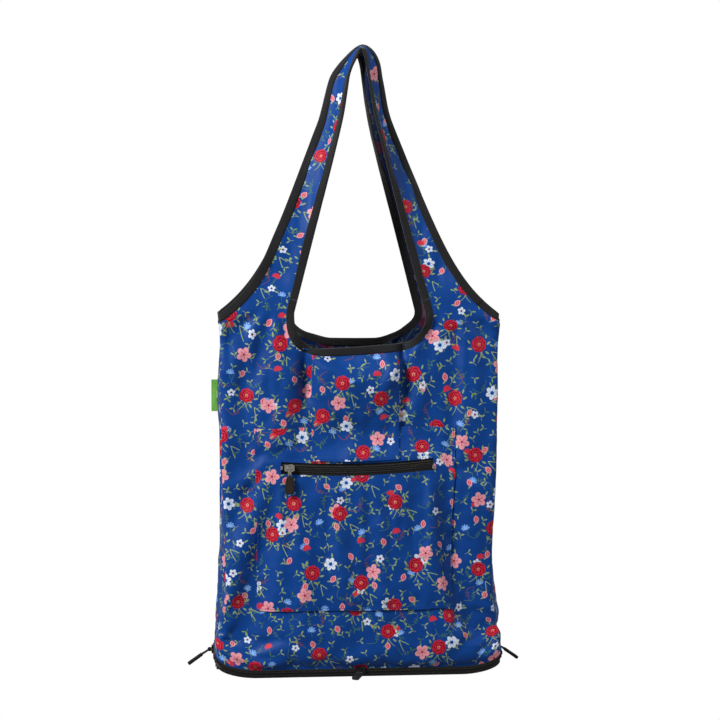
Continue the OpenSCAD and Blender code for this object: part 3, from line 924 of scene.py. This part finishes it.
def inner_edge(z, hem, inset=0.0):
    """Half width of the opening at height z, inset into the cloth."""
    z = np.asarray(z, float)
    r, centre = HEM_R + inset, hem + HEM_R
    arc = (HEM_HALF - HEM_R) + np.sqrt(np.clip(r * r - np.clip(centre - z, 0, r) ** 2, 0, None))
    return np.where(z <= SIDE_H, arc, strap_inner(strap_t(z)) + inset)


def hem_path(hem, top=FOLD_Z + 0.7 * MM, spacing=2 * MM):
    """The opening's rim as (s, z) points and the direction into the cloth, left to right."""
    zs = np.linspace(top, hem + HEM_R, int((top - hem - HEM_R) / spacing))
    angle = np.linspace(0, math.pi / 2, 20)[1:]
    flat = np.linspace(-(HEM_HALF - HEM_R), HEM_HALF - HEM_R, 49)[1:-1]
    side = pack(-inner_edge(zs, hem), zs)
    run = unit(np.gradient(side, axis=0))
    side_in = pack(run[:, 1], -run[:, 0])
    c = HEM_HALF - HEM_R
    arc = pack(-c - HEM_R * np.cos(angle), hem + HEM_R - HEM_R * np.sin(angle))
    arc_in = pack(-np.cos(angle), -np.sin(angle))
    bottom = pack(flat, np.full_like(flat, hem))
    bottom_in = np.tile([0.0, -1.0], (len(bottom), 1))
    mirror = np.array([-1.0, 1.0])
    path = np.concatenate([side, arc, bottom, arc[::-1] * mirror, side[::-1] * mirror])
    inward = np.concatenate([side_in, arc_in, bottom_in, arc_in[::-1] * mirror, side_in[::-1] * mirror])
    return path, inward


def tape_on(name, rail, flip=False):
    """A folded tape over an edge, with the line and normals for its stitches.
    rail(a) gives the points a metres in from the edge."""
    profile = rounded_profile(-0.5 * MM, BIND_W - 0.5 * MM, BIND_T, sag=0.25 * MM)
    rim, inside = rail(0.0), rail(BIND_W / 2)
    across = unit(inside - rim)
    normal = unit(np.cross(across, unit(np.gradient(inside, axis=0))))
    if flip:
        normal = -normal
    rings = np.stack([rail(max(a, 0.0)) + across * min(a, 0.0) + normal * h for a, h in profile], axis=1)
    tape = ring_mesh(name, rings, inside, profile, (BINDING,), flip)
    return tape, rail(BIND_W - 2.0 * MM) + normal * BIND_T / 2, normal


def skin_rail(path, inward, centre):
    """A rail for tape_on along a path of (s, z) points on the skin."""
    def rail(a):
        q = path + inward * a
        return SKIN.point(centre + q[:, 0], q[:, 1])
    return rail


# ---- Body cloth -------------------------------------------------------------------------------

def add_skin(sheets, s, z):
    """Adds the part of the skin at s, z."""
    sheets.add(SKIN.point(s, z), pack(s, z))


def body_face(name, centre, hem):
    """The front or the back, from seam to seam and from the base zip up to where the handle folds."""
    z0 = 9.4 * MM if centre == 0 else 2.6 * MM
    edge = hem - TUCK
    z = spaced(z0, 118, edge, 20, SIDE_H, 7, FOLD_Z)
    v = spaced(0, 9, 0.11, 38, 1)
    # near the armhole the raw edge stops inside its binding
    early = np.where(z > SIDE_H - 12 * MM, 2.8 * MM, 0)
    raw = outer_edge(z + early) - np.where(z > SIDE_H - 10 * MM, 1.0 * MM, 0)
    s = raw[:, None] * (1 - v) + inner_edge(z, hem, TUCK)[:, None] * v
    zz = np.broadcast_to(z[:, None], s.shape)
    sheets = Sheets()
    add_skin(sheets, centre - s, zz)
    add_skin(sheets, centre + s[:, ::-1], zz)
    flat = centre + np.linspace(HEM_R - HEM_HALF, HEM_HALF - HEM_R, 34)
    add_skin(sheets, *np.meshgrid(flat, z[z <= edge]))
    return sheets.build(name, CLOTH, SHADED_INSIDE)


def gusset(name, sign):
    """A side, from its run of the base zip up to its binding."""
    s = sign * (FACE_HALF + SEAM_Y) + np.linspace(-SEAM_Y, SEAM_Y, 30)
    sheets = Sheets()
    add_skin(sheets, *np.meshgrid(s, np.linspace(2.6 * MM, SIDE_H - 6 * MM, 132)))
    return sheets.build(name, CLOTH, SHADED_INSIDE)


def armhole_side_tape(name, sign):
    """The tape over the top of a side."""
    centre = sign * (FACE_HALF + SEAM_Y)
    s = np.linspace(-SEAM_Y - 3 * MM, SEAM_Y + 3 * MM, 34)
    path = pack(s, np.full_like(s, SIDE_H - 3.5 * MM))
    inward = np.tile([0.0, -1.0], (len(s), 1))
    return tape_on(name, skin_rail(path, inward, centre))[0]


def armhole_path(sign):
    """The outer edge of the front from the side seam up to where the handle folds."""
    low = SIDE_H - 4.5 * MM
    z = spaced(low, 9, SIDE_H, 14, FOLD_Z + 0.7 * MM)
    corner = np.interp(z, [low, SIDE_H], [FACE_HALF + 1 * MM, strap_outer(0.0)])
    path = pack(np.where(z < SIDE_H, corner, strap_outer(strap_t(z))), z)
    tangent = unit(np.gradient(path, axis=0))
    inward = pack(-tangent[:, 1], tangent[:, 0])
    return path * [sign, 1], inward * [sign, 1]


# ---- Handles ----------------------------------------------------------------------------------

def strap_point(v, t, side, face):
    """A handle's point: v runs 0 to 1 from its outer to its inner edge, and t is 1 at the top."""
    v, t = pair(v, t)
    x = side * (strap_outer(t) * (1 - v) + strap_inner(t) * v)
    x = x + side * strap_crown(t) * (11.0 - 7.5 * v) * MM + (7.5 - 4.5 * v) * MM * smooth(0.86, 1.0, t)
    if face < 0:
        # the front's left strap lies a little wider and hides the edge of the one behind
        wider = 4.5 * MM * smooth(0.05, 0.3, t) * (1 - smooth(0.72, 0.96, t))
        x = x - np.where(np.asarray(side) < 0, wider * (1 - v), 0.0)
    y = -HALF_D + (HALF_D - TOP_Y) * t + (0.5 - v) * TURN_Y * smooth(0.15, 0.7, t)
    z = SIDE_H + t * (TOP_H - SIDE_H) - (2 + 7 * v) * MM * smooth(0.85, 1.0, t)
    return pack(x, y * (1 if face < 0 else -1), z)


def strap_bow(v, t, side, face):
    """How far a handle's cloth swells and creases out of its flat ribbon."""
    free = smooth(ROOT_T, 0.16, t) * (1 - smooth(0.90, 0.99, t))
    points = strap_point(v, t, side, face)
    long_creases = fractal(points * [1, 1, 0.22], 62, 21 + face)
    soft = fractal(points, 24, 31 + face)
    arch = 3.5 * np.sin(math.pi * v)
    gather = np.sin(math.pi * v) ** 0.5
    return MM * free * (arch + gather * (2.4 * long_creases + 1.6 * soft))


def strap_surface(v, t, side, face):
    """A handle's point with its swell and creases."""
    p = strap_point(v, t, side, face)
    along = strap_point(v, np.minimum(t + 0.004, 1.0), side, face) - strap_point(v, t - 0.004, side, face)
    over = strap_point(v + 0.01, t, side, face) - strap_point(v - 0.01, t, side, face)
    out = unit(np.cross(over, along)) * (-side * (-1 if face < 0 else 1))
    return p + out * strap_bow(v, t, side, face)[..., None]


def strap_width(t):
    return np.linalg.norm(strap_point(0.0, t, 1, -1) - strap_point(1.0, t, 1, -1), axis=-1)


def strap_steps(spacing=3 * MM):
    """Values of t evenly spaced along the middle of a strap."""
    t = np.concatenate([np.linspace(ROOT_T, 0.9, 300), 1 - 0.1 * np.linspace(1, 0, 120)[1:] ** 2])
    s = arc_length(strap_point(0.5, t, 1, -1))
    return np.interp(np.linspace(0, s[-1], int(s[-1] / spacing)), s, t)


def handle_cloth(name, face):
    """Both straps of one handle, joined at the top."""
    t = strap_steps()
    centre = 0.0 if face < 0 else BACK_S
    sheets = Sheets()
    along = arc_length(strap_point(0.5, t, 1, face)) + FOLD_Z
    width = strap_width(t)
    for side in (-1, 1):
        columns = np.linspace(0, 1, 17)
        if side * face < 0:
            columns = columns[::-1]
        # the edges stop inside their tapes
        v = TUCK / width[:, None] + columns * (1 - 2 * TUCK / width[:, None])
        p = strap_surface(v, t[:, None], side, face)
        middle = side * (strap_outer(t) + strap_inner(t)) / 2
        u = middle[:, None] + side * (0.5 - v) * width[:, None]
        if face > 0:
            u = -u
        sheets.add(p, pack(centre + u, np.broadcast_to(along[:, None], v.shape)))
    return sheets.build(name, CLOTH, SHADED_INSIDE)


def handle_rail(inner, face):
    """A rail for the tape on a handle's inner or outer edge, over the top from left to right."""
    t = strap_steps(2.5 * MM)
    edge_v = 1.0 if inner else 0.0
    rim = strap_point(edge_v, t, 1, face)
    over = unit(strap_point(1 - edge_v, t, 1, face) - rim)
    along = unit(np.gradient(rim, axis=0))
    # the tape's own across direction is square to its edge
    square = unit(over - along * np.sum(over * along, axis=1, keepdims=True))
    share = np.sum(square * over, axis=1)
    drop = square[:, 2] - share * over[:, 2]
    width = strap_width(t)

    def rail(a):
        tt = np.clip(t + a * drop / (TOP_H - SIDE_H), 0, 1)
        shift = a / np.maximum(share, 0.3) / width
        v = edge_v - shift if inner else edge_v + shift
        left = strap_surface(v, tt, -1, face)
        right = strap_surface(v, tt, 1, face)
        return np.concatenate([left, right[-2::-1]])
    return rail


def make_handle(face):
    """One handle. face is -1 for the front and 1 for the back."""
    side = "front" if face < 0 else "back"
    root = "front_roots" if face < 0 else "back"
    bend = (root, f"{side}_handle", FOLD_Z, FOLD_Z + 17 * MM)
    cloth = handle_cloth(f"{side}_handle_cloth", face)
    blend_piece(cloth, *bend, "print_cloth", f"{side}_handle")
    for edge in ("inner", "outer"):
        rail = handle_rail(edge == "inner", face)
        flip = (edge == "inner") == (face < 0)
        tape, line, normal = tape_on(f"{side}_handle_{edge}_tape", rail, flip)
        blend_piece(tape, *bend, "binding", f"{side}_handle_{edge}_binding")
        sewn = stitches(f"{side}_handle_{edge}_stitches", line, normal, DARK_THREAD)
        blend_piece(sewn, *bend, "binding")


def make_shell():
    """Front, back and sides, with the tapes on their edges up to where the handles fold."""
    bend = ("front", "front_roots", SIDE_H - 15 * MM, SIDE_H + 2 * MM)
    front = body_face("front_cloth", 0.0, HEM_H)
    blend_piece(front, *bend, "print_cloth", "front_panel", "front_strap_roots")
    back = body_face("back_cloth", BACK_S, BACK_HEM_H)
    finish_piece(back, "back", "print_cloth", "back_panel", "back_strap_roots")
    for label, sign in (("right", 1), ("left", -1)):
        side = gusset(f"{label}_side_cloth", sign)
        squash_piece(side, SEAM_Y, -SEAM_Y, "print_cloth", f"{label}_gusset")
        tape = armhole_side_tape(f"{label}_side_tape", sign)
        squash_piece(tape, SEAM_Y, -SEAM_Y, "binding", f"{label}_armhole_binding")
    for label, centre, hem in (("front", 0.0, HEM_H), ("back", BACK_S, BACK_HEM_H)):
        rim = skin_rail(*hem_path(hem), centre)
        parts = [("hem", rim, False, [f"{label}_hem_binding"])]
        for side, sign in (("left", -1), ("right", 1)):
            parts.append((f"{side}_armhole", skin_rail(*armhole_path(sign), centre), sign > 0, []))
        for part, rail, flip, nodes in parts:
            tape, line, normal = tape_on(f"{label}_{part}_tape", rail, flip)
            sewn = stitches(f"{label}_{part}_stitches", line, normal, DARK_THREAD)
            for piece, names in ((tape, nodes), (sewn, [])):
                if label == "front":
                    blend_piece(piece, *bend, "binding", *names)
                else:
                    finish_piece(piece, "back", "binding", *names)


# ---- Base -------------------------------------------------------------------------------------

def base_sheet(name, z, top, under):
    """A rounded plate of cloth across the base, drawn up at its front corners."""
    x = spaced(-1, 8, -0.92, 60, 0.92, 8, 1)
    y = spaced(-1, 7, -0.8, 24, 0.8, 7, 1)
    xx, yy = np.meshgrid(x * (HALF_W - CLOTH_T), y * (HALF_D - CLOTH_T))
    # corners rounded by pulling each point in along the line to its corner's centre
    r = CORNER_R
    dx, dy = np.abs(xx) - (HALF_W - r), np.abs(yy) - (HALF_D - r)
    corner = (dx > 0) & (dy > 0)
    scale = np.where(corner, np.maximum(dx, dy) / np.maximum(np.hypot(dx, dy), 1e-9), 1.0)
    xx = np.where(corner, np.sign(xx) * (HALF_W - r + dx * scale), xx)
    yy = np.where(corner, np.sign(yy) * (HALF_D - r + dy * scale), yy)
    points = pack(xx, yy, np.full_like(xx, z))
    points[..., 2] += base_lift(points) * 0.95
    sheets = Sheets()
    sheets.add(points, pack(xx, yy))
    obj = sheets.build(name, top, under, 1.0 * MM)
    # bound with black tape all round
    obj.data.materials.append(BINDING)
    for face in obj.data.polygons:
        if abs(face.center.x) > HALF_W - 6 * MM or abs(face.center.y) > HALF_D - 6 * MM:
            face.material_index = 2
    return obj


def coil_on(name, path, out, width):
    """Two rows of slanted nylon coil turns along a zip. path is its centre line."""
    pitch = 1.35 * MM
    s = arc_length(path)
    t = np.arange(pitch, s[-1] - pitch, pitch)
    centre = values_at(t, s, path)
    normal = unit(values_at(t, s, out))
    along = unit(values_at(t + pitch / 2, s, path) - centre)
    over = np.cross(normal, along)
    turn = bead(width * 0.56, pitch * 0.86, 1.5 * MM, sides=8, rings=5)
    rows = []
    for sign in (-1, 1):
        lean = unit(over * sign + along * 0.45)
        shift = over * sign * width * 0.25
        rows.append(repeat(f"{name}_{sign}", turn, centre + shift, lean, normal, (COIL,)))
    return join(name, rows)


def make_base():
    cover = base_sheet("base_cloth", 0.6 * MM, SHADED_INSIDE, CLOTH)
    squash_piece(cover, HALF_D, -HALF_D, "print_cloth", "base_cover")
    floor = base_sheet("base_inside", 2.1 * MM, SHADED_INSIDE, SHADED_INSIDE)
    squash_piece(floor, HALF_D, -HALF_D, "print_cloth", "base_floor")
    middle = 7.2 * MM

    def run(name, s, z, off):
        """A tape and its coil along the skin, pushed out by off."""
        out = skin(s, z)[1]
        path = SKIN.point(s, z, off)
        profile = rounded_profile(-5.2 * MM, 5.2 * MM, 1.2 * MM)
        tape = sweep(name + "_tape", path, np.tile(UP, (len(s), 1)), out, profile, (ZIP_TAPE,))
        return tape, coil_on(name + "_coil", path + out * 1.1 * MM, out, 4.2 * MM)

    s = np.linspace(-FACE_HALF, FACE_HALF, 230)
    tape, coil = run("base_zip_front", s, np.full_like(s, middle), -0.5 * MM)
    finish_piece(tape, "front", "zip_tape", "base_zip_tapes")
    finish_piece(coil, "front", "zip_coil", "base_zip_coil")
    travel = JOINTS["left_zip_slide"]["axis"]
    slope = travel[2] / travel[1]
    for label, sign in (("right", 1), ("left", -1)):
        s = FACE_HALF + np.linspace(0, SIDE_L, 60)
        z = middle + slope * (s - FACE_HALF)
        tape, coil = run(f"base_zip_{label}", sign * s[::sign], z[::sign], 0.7 * MM)
        squash_piece(tape, 36 * MM, -SEAM_Y, "zip_tape", f"{label}_zip_run")
        squash_piece(coil, 36 * MM, -SEAM_Y, "zip_coil")


# ---- Pocket and centre band -------------------------------------------------------------------

def zip_sag(x, z):
    """The pocket's zip hangs a little in the middle and rises to its right end."""
    along = np.clip((x - ZIP_BOX[0].x) / (ZIP_BOX[1].x - ZIP_BOX[0].x), 0, 1)
    drop = -3.4 * MM * np.sin(math.pi * along) + 3.0 * MM * along ** 2
    near = np.exp(-((z - ZIP_Z) / 0.026) ** 2) * (1 - smooth(0.092, 0.109, np.abs(x - POCKET_X)))
    return drop * near


def pocket_off(x, z):
    """How far the pocket stands off the front: pressed down at its seams, fuller between them."""
    left, right, low = x - POCKET_BOX[0].x, POCKET_BOX[1].x - x, z - POCKET_BOX[0].z
    edge = np.minimum(np.minimum(left, right), np.minimum(low, STRIP_BOX[1].z - z + 4 * MM))
    points = pack(x, 0 * x, z)
    pucker = fractal(points, 120, 41) * np.exp(-np.maximum(edge, 0) / 0.010)
    full = fractal(points, 22, 43)
    by_zip = np.exp(-((z - ZIP_Z) / 0.014) ** 2)
    open_part = smooth(0.0, 0.016, edge)
    return MM * (1.7 + 0.7 * pucker + open_part * (0.7 + (1.1 * full + 0.7) * (1 - by_zip)))


def front_point(x, z, off):
    """A point of a part that hangs with the pocket's zip, standing off the front."""
    return SKIN.point(x, z, off) + pack(0 * x, 0 * x, zip_sag(x, z))


def blue_stitches(name, points):
    """A row of stitches along points on the front."""
    return stitches(name, points, np.tile(OUT, (len(points), 1)), THREAD)


def pocket_point(x, z, extra=0.0):
    return front_point(x, z, pocket_off(x, z) + extra)


def make_pocket():
    slot_z = (ZIP_Z - 6.6 * MM, ZIP_Z + 6.6 * MM)
    slot_x = (ZIP_BOX[0].x + 1.5 * MM, ZIP_BOX[1].x - 1.5 * MM)
    x0, x1, z0, z1 = POCKET_BOX[0].x, POCKET_BOX[1].x, POCKET_BOX[0].z, STRIP_BOX[1].z
    across = [np.linspace(x0, slot_x[0], 14), np.linspace(*slot_x, 74), np.linspace(slot_x[1], x1, 13)]
    up = [np.linspace(z0, slot_z[0], 66), np.linspace(*slot_z, 7), np.linspace(slot_z[1], z1, 20)]
    sheets = Sheets()
    for i, xs in enumerate(across):
        for j, zs in enumerate(up):
            if (i, j) != (1, 1):
                xx, zz = np.meshgrid(xs, zs)
                sheets.add(pocket_point(xx, zz), pack(xx + 0.017, zz + 0.023))
    cloth = sheets.build("pocket_cloth", CLOTH, SHADED_INSIDE, 1.3 * MM)
    finish_piece(cloth, "front", "print_cloth", "pocket_panel", "pocket_top_strip")

    ins = 2.2 * MM
    ends = ((x0 + ins, x0 + ins, z0 + ins, z1, 90), (x1 - ins, x1 - ins, z0 + ins, z1, 90),
            (x0 + ins, x1 - ins, z0 + ins, z0 + ins, 90),
            (slot_x[0] - ins, slot_x[1] + ins, slot_z[0] - ins, slot_z[0] - ins, 80),
            (slot_x[0] - ins, slot_x[1] + ins, slot_z[1] + ins, slot_z[1] + ins, 80))
    rows = []
    for k, (xa, xb, za, zb, n) in enumerate(ends):
        path = pocket_point(np.linspace(xa, xb, n), np.linspace(za, zb, n), 0.7 * MM)
        rows.append(blue_stitches(f"pocket_row_{k}", path))
    finish_piece(join("pocket_stitches", rows), "front", "print_cloth")


def make_band():
    """The band down the middle, flat at the hem and fuller below it."""
    x0, x1, z0 = BAND_BOX[0].x, BAND_BOX[1].x, BAND_BOX[0].z

    def point(x, z, extra=0.0):
        rise = 1 - smooth(0.344, HEM_H - 9 * MM, z)
        soft = 0.8 * fractal(pack(x, 0 * x, z), 30, 51) + np.sin(math.pi * (x - x0) / (x1 - x0))
        return front_point(x, z, MM * (1.6 + rise * (2.6 + soft)) + extra)

    xx, zz = np.meshgrid(np.linspace(x0, x1, 38), np.linspace(z0, HEM_H - 8.6 * MM, 50))
    sheets = Sheets()
    sheets.add(point(xx, zz), pack(xx - 0.031, zz + 0.011))
    cloth = sheets.build("band_cloth", CLOTH, SHADED_INSIDE, 1.4 * MM)
    finish_piece(cloth, "front", "print_cloth", "centre_band")
    rows = []
    zs = np.linspace(z0 + 2 * MM, HEM_H - 12 * MM, 60)
    for k, x in enumerate((x0 + 2.2 * MM, x1 - 2.2 * MM)):
        rows.append(blue_stitches(f"band_row_{k}", point(np.full_like(zs, x), zs, 0.75 * MM)))
    xs = np.linspace(x0 + 2 * MM, x1 - 2 * MM, 60)
    rows.append(blue_stitches("band_row_2", point(xs, np.full_like(xs, z0 + 2.4 * MM), 0.75 * MM)))
    finish_piece(join("band_stitches", rows), "front", "print_cloth")


def make_pocket_zip():
    x = np.linspace(ZIP_BOX[0].x, ZIP_BOX[1].x, 110)
    up, out = np.tile(UP, (len(x), 1)), np.tile(OUT, (len(x), 1))

    def path(z):
        p = SKIN.point(x, np.full_like(x, z), 0.9 * MM)
        p[:, 2] += zip_sag(x, np.full_like(x, ZIP_Z))
        return p

    halves = []
    for k, sign in enumerate((-1, 1)):
        flat = rounded_profile(-3.6 * MM, 3.4 * MM, 1.0 * MM)
        halves.append(sweep(f"zip_flat_{k}", path(ZIP_Z + sign * 4.4 * MM), up, out, flat, (ZIP_TAPE,)))
        ridge = rounded_profile(-0.75 * MM, 0.75 * MM, 1.3 * MM)
        raised = path(ZIP_Z + sign * 3.1 * MM) + out * 0.6 * MM
        halves.append(sweep(f"zip_ridge_{k}", raised, up, out, ridge, (ZIP_TAPE,)))
    finish_piece(join("pocket_zip_tape", halves), "front", "zip_tape", "pocket_zip_tapes")
    coil = coil_on("pocket_zip_teeth", path(ZIP_Z) + out * 0.9 * MM, out, 4.0 * MM)
    finish_piece(coil, "front", "zip_coil", "pocket_zip_coil")


def make_label():
    """A blank label: its root is sewn in where the cloth hangs."""
    lo, hi = LABEL_BOX
    height, reach = np.meshgrid(np.linspace(lo.z, hi.z, 24), np.linspace(0, 1, 15))
    z = height - 2.5 * MM
    seam = 3 * FACE_HALF + SIDE_L
    root = skin(seam, z)[0] + SKIN.at(seam, z)
    root_x = root[..., 0] + 2.5 * MM
    tip_x = lo.x + 4 * MM
    x = root_x + (tip_x - root_x) * reach
    curl = 0.9 * MM * np.sin((height - lo.z) * 95) * smooth(hi.x + 2 * MM, tip_x, x)
    y = root[..., 1] + ((lo.y + hi.y) / 2 - root[..., 1]) * smooth(0, 1, reach) + curl
    sheets = Sheets()
    sheets.add(pack(x, y, z), pack(z, x))
    label = sheets.build("side_label_cloth", LABEL, LABEL, 0.9 * MM)
    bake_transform(label)
    stands_for(label, "label", ["side_label"])


# ---- Zip sliders and pulls, finished on their CAD shapes --------------------------------------

def dress(node, material, bevel):
    """Softens a CAD part's edges and gives it its material."""
    obj = frame["nodes"][node]
    obj.data.materials.clear()
    obj.data.materials.append(material)
    merge = obj.modifiers.new("merge", "WELD")
    merge.merge_threshold = 0.005 * MM
    soften = obj.modifiers.new("soften", "BEVEL")
    soften.width = bevel
    soften.segments = 3
    soften.limit_method = "ANGLE"
    soften.angle_limit = math.radians(32)
    obj.data.polygons.foreach_set("use_smooth", [True] * len(obj.data.polygons))


def node_points(node):
    """A CAD node's vertices."""
    return np.array([v.co for v in frame["nodes"][node].data.vertices], float)


def pull_neck(place, material):
    """A round neck that joins a pull's strip to its grip."""
    bar = np.array(JOINTS[f"{place}_pull_swing"]["pos_m"])
    strip, grip = node_points(f"{place}_pull_tab"), node_points(f"{place}_pull_grip")
    strip_far = np.linalg.norm(strip - bar, axis=1)
    grip_far = np.linalg.norm(grip - bar, axis=1)
    a = strip[strip_far > strip_far.max() - 0.6 * MM].mean(axis=0)
    b = grip[grip_far < grip_far.min() + 0.6 * MM].mean(axis=0)
    reach = unit(b - a)
    points = np.array([a - reach * 1.6 * MM, a, b, b + reach * 1.8 * MM])
    neck = tube(f"{place}_pull_neck", resample(points, 0.6 * MM), 1.35 * MM, (material,), sides=14)
    finish_piece(neck, f"{place}_pull", "grip")


# The leather tag's half width in mm at these shares of its length, from its neck to its tip
TAG_AT = (0, 0.08, 0.25, 0.72, 0.90, 1.0)
TAG_HALF = (2.4, 3.4, 4.3, 5.1, 4.3, 2.0)


def leather_tag():
    """The pocket's grip: a leather tag that widens from its neck and ends in a blunt point."""
    lo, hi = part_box("pocket_pull_grip")
    middle_x, middle_y = (lo.x + hi.x) / 2, (lo.y + hi.y) / 2
    share = np.linspace(0, 1, 25)
    half = np.interp(share, TAG_AT, TAG_HALF) * MM
    down = hi.z + 0.6 * MM - share * (hi.z - lo.z)
    across = np.linspace(-1, 1, 13)
    crown = 0.35 * MM * (1 - across ** 4)
    x = middle_x + half[:, None] * across
    front = pack(x, np.tile(middle_y - 0.75 * MM - crown, (25, 1)), np.tile(down[:, None], (1, 13)))
    sheets = Sheets()
    sheets.add(front, pack(front[..., 0], front[..., 2]))
    tag = sheets.build("pocket_leather_tag", LEATHER, LEATHER, 2.2 * MM)
    finish_piece(tag, "pocket_pull", "grip", "pocket_pull_grip")
    # the seam goes down one side, inside the edge, and up the other
    seam_x = middle_x + 0.76 * np.concatenate([-half[2:23], half[22:1:-1]])
    seam_z = np.concatenate([down[2:23], down[22:1:-1]])
    seam = pack(seam_x, np.full_like(seam_x, middle_y - 2.2 * MM), seam_z)
    sewn = stitches("pocket_tag_stitches", seam, np.tile(OUT, (len(seam), 1)), DARK_THREAD)
    finish_piece(sewn, "pocket_pull", "grip")


def dress_hardware():
    pull_neck("pocket", LEATHER)
    leather_tag()
    for place in ("centre", "left", "right"):
        pull_neck(place, CORD)
    dress("pocket_zip_slider", ANTIQUE, 0.3 * MM)
    dress("pocket_pull_tab", ANTIQUE, 0.25 * MM)
    dress("pocket_zip_stops", ANTIQUE, 0.15 * MM)
    for place in ("centre", "left", "right"):
        dress(f"{place}_zip_slider", GUNMETAL, 0.3 * MM)
        dress(f"{place}_pull_tab", GUNMETAL, 0.25 * MM)
        dress(f"{place}_pull_grip", RUBBER, 0.5 * MM)


# ---- Light and camera -------------------------------------------------------------------------

FILL = 0.27             # strength of the even light from all round
LIGHT_AIM = (0, 0, 0.3)


def area_light(name, place, size, watts):
    """A soft square light aimed at the bag's middle."""
    light = bpy.data.lights.new(name, "AREA")
    light.energy = watts
    light.size = size
    obj = bpy.data.objects.new(name, light)
    bpy.context.scene.collection.objects.link(obj)
    obj.location = place
    obj.rotation_mode = "QUATERNION"
    obj.rotation_quaternion = (Vector(LIGHT_AIM) - Vector(place)).to_track_quat("-Z", "Y")


def make_world():
    """White where the camera sees it, and a dimmer even light on the bag."""
    world = bpy.data.worlds.new("white_room")
    bpy.context.scene.world = world
    world.use_nodes = True
    g = Graph(world.node_tree)
    sky = world.node_tree.nodes["Background"]
    seen = g.node("ShaderNodeLightPath").outputs["Is Camera Ray"]
    sky.inputs["Color"].default_value = (1, 1, 1, 1)
    g.put(sky.inputs["Strength"], g.scaled(seen, 1.0 - FILL, FILL))


def make_camera():
    """In front of the bag, a little to the left and above."""
    lens = bpy.data.cameras.new("camera")
    lens.lens = 94
    lens.sensor_width = 36
    camera = bpy.data.objects.new("camera", lens)
    bpy.context.scene.collection.objects.link(camera)
    bpy.context.scene.camera = camera
    turn, rise, away = math.radians(-5), math.radians(3), 2.10
    aim = Vector((0.0045, 0, 0.346))
    back = Vector((math.sin(turn) * math.cos(rise), -math.cos(turn) * math.cos(rise), math.sin(rise)))
    camera.location = aim + back * away
    camera.rotation_mode = "QUATERNION"
    camera.rotation_quaternion = (-back).to_track_quat("-Z", "Y")


make_shell()
make_handle(-1)
make_handle(1)
make_base()
make_pocket()
make_band()
make_pocket_zip()
make_label()
dress_hardware()
make_world()
area_light("key", (-1.6, -1.2, 1.6), 0.6, 60)
area_light("rim", (1.4, -0.6, 1.1), 0.8, 7)
make_camera()
bpy.context.scene.view_settings.view_transform = "Standard"
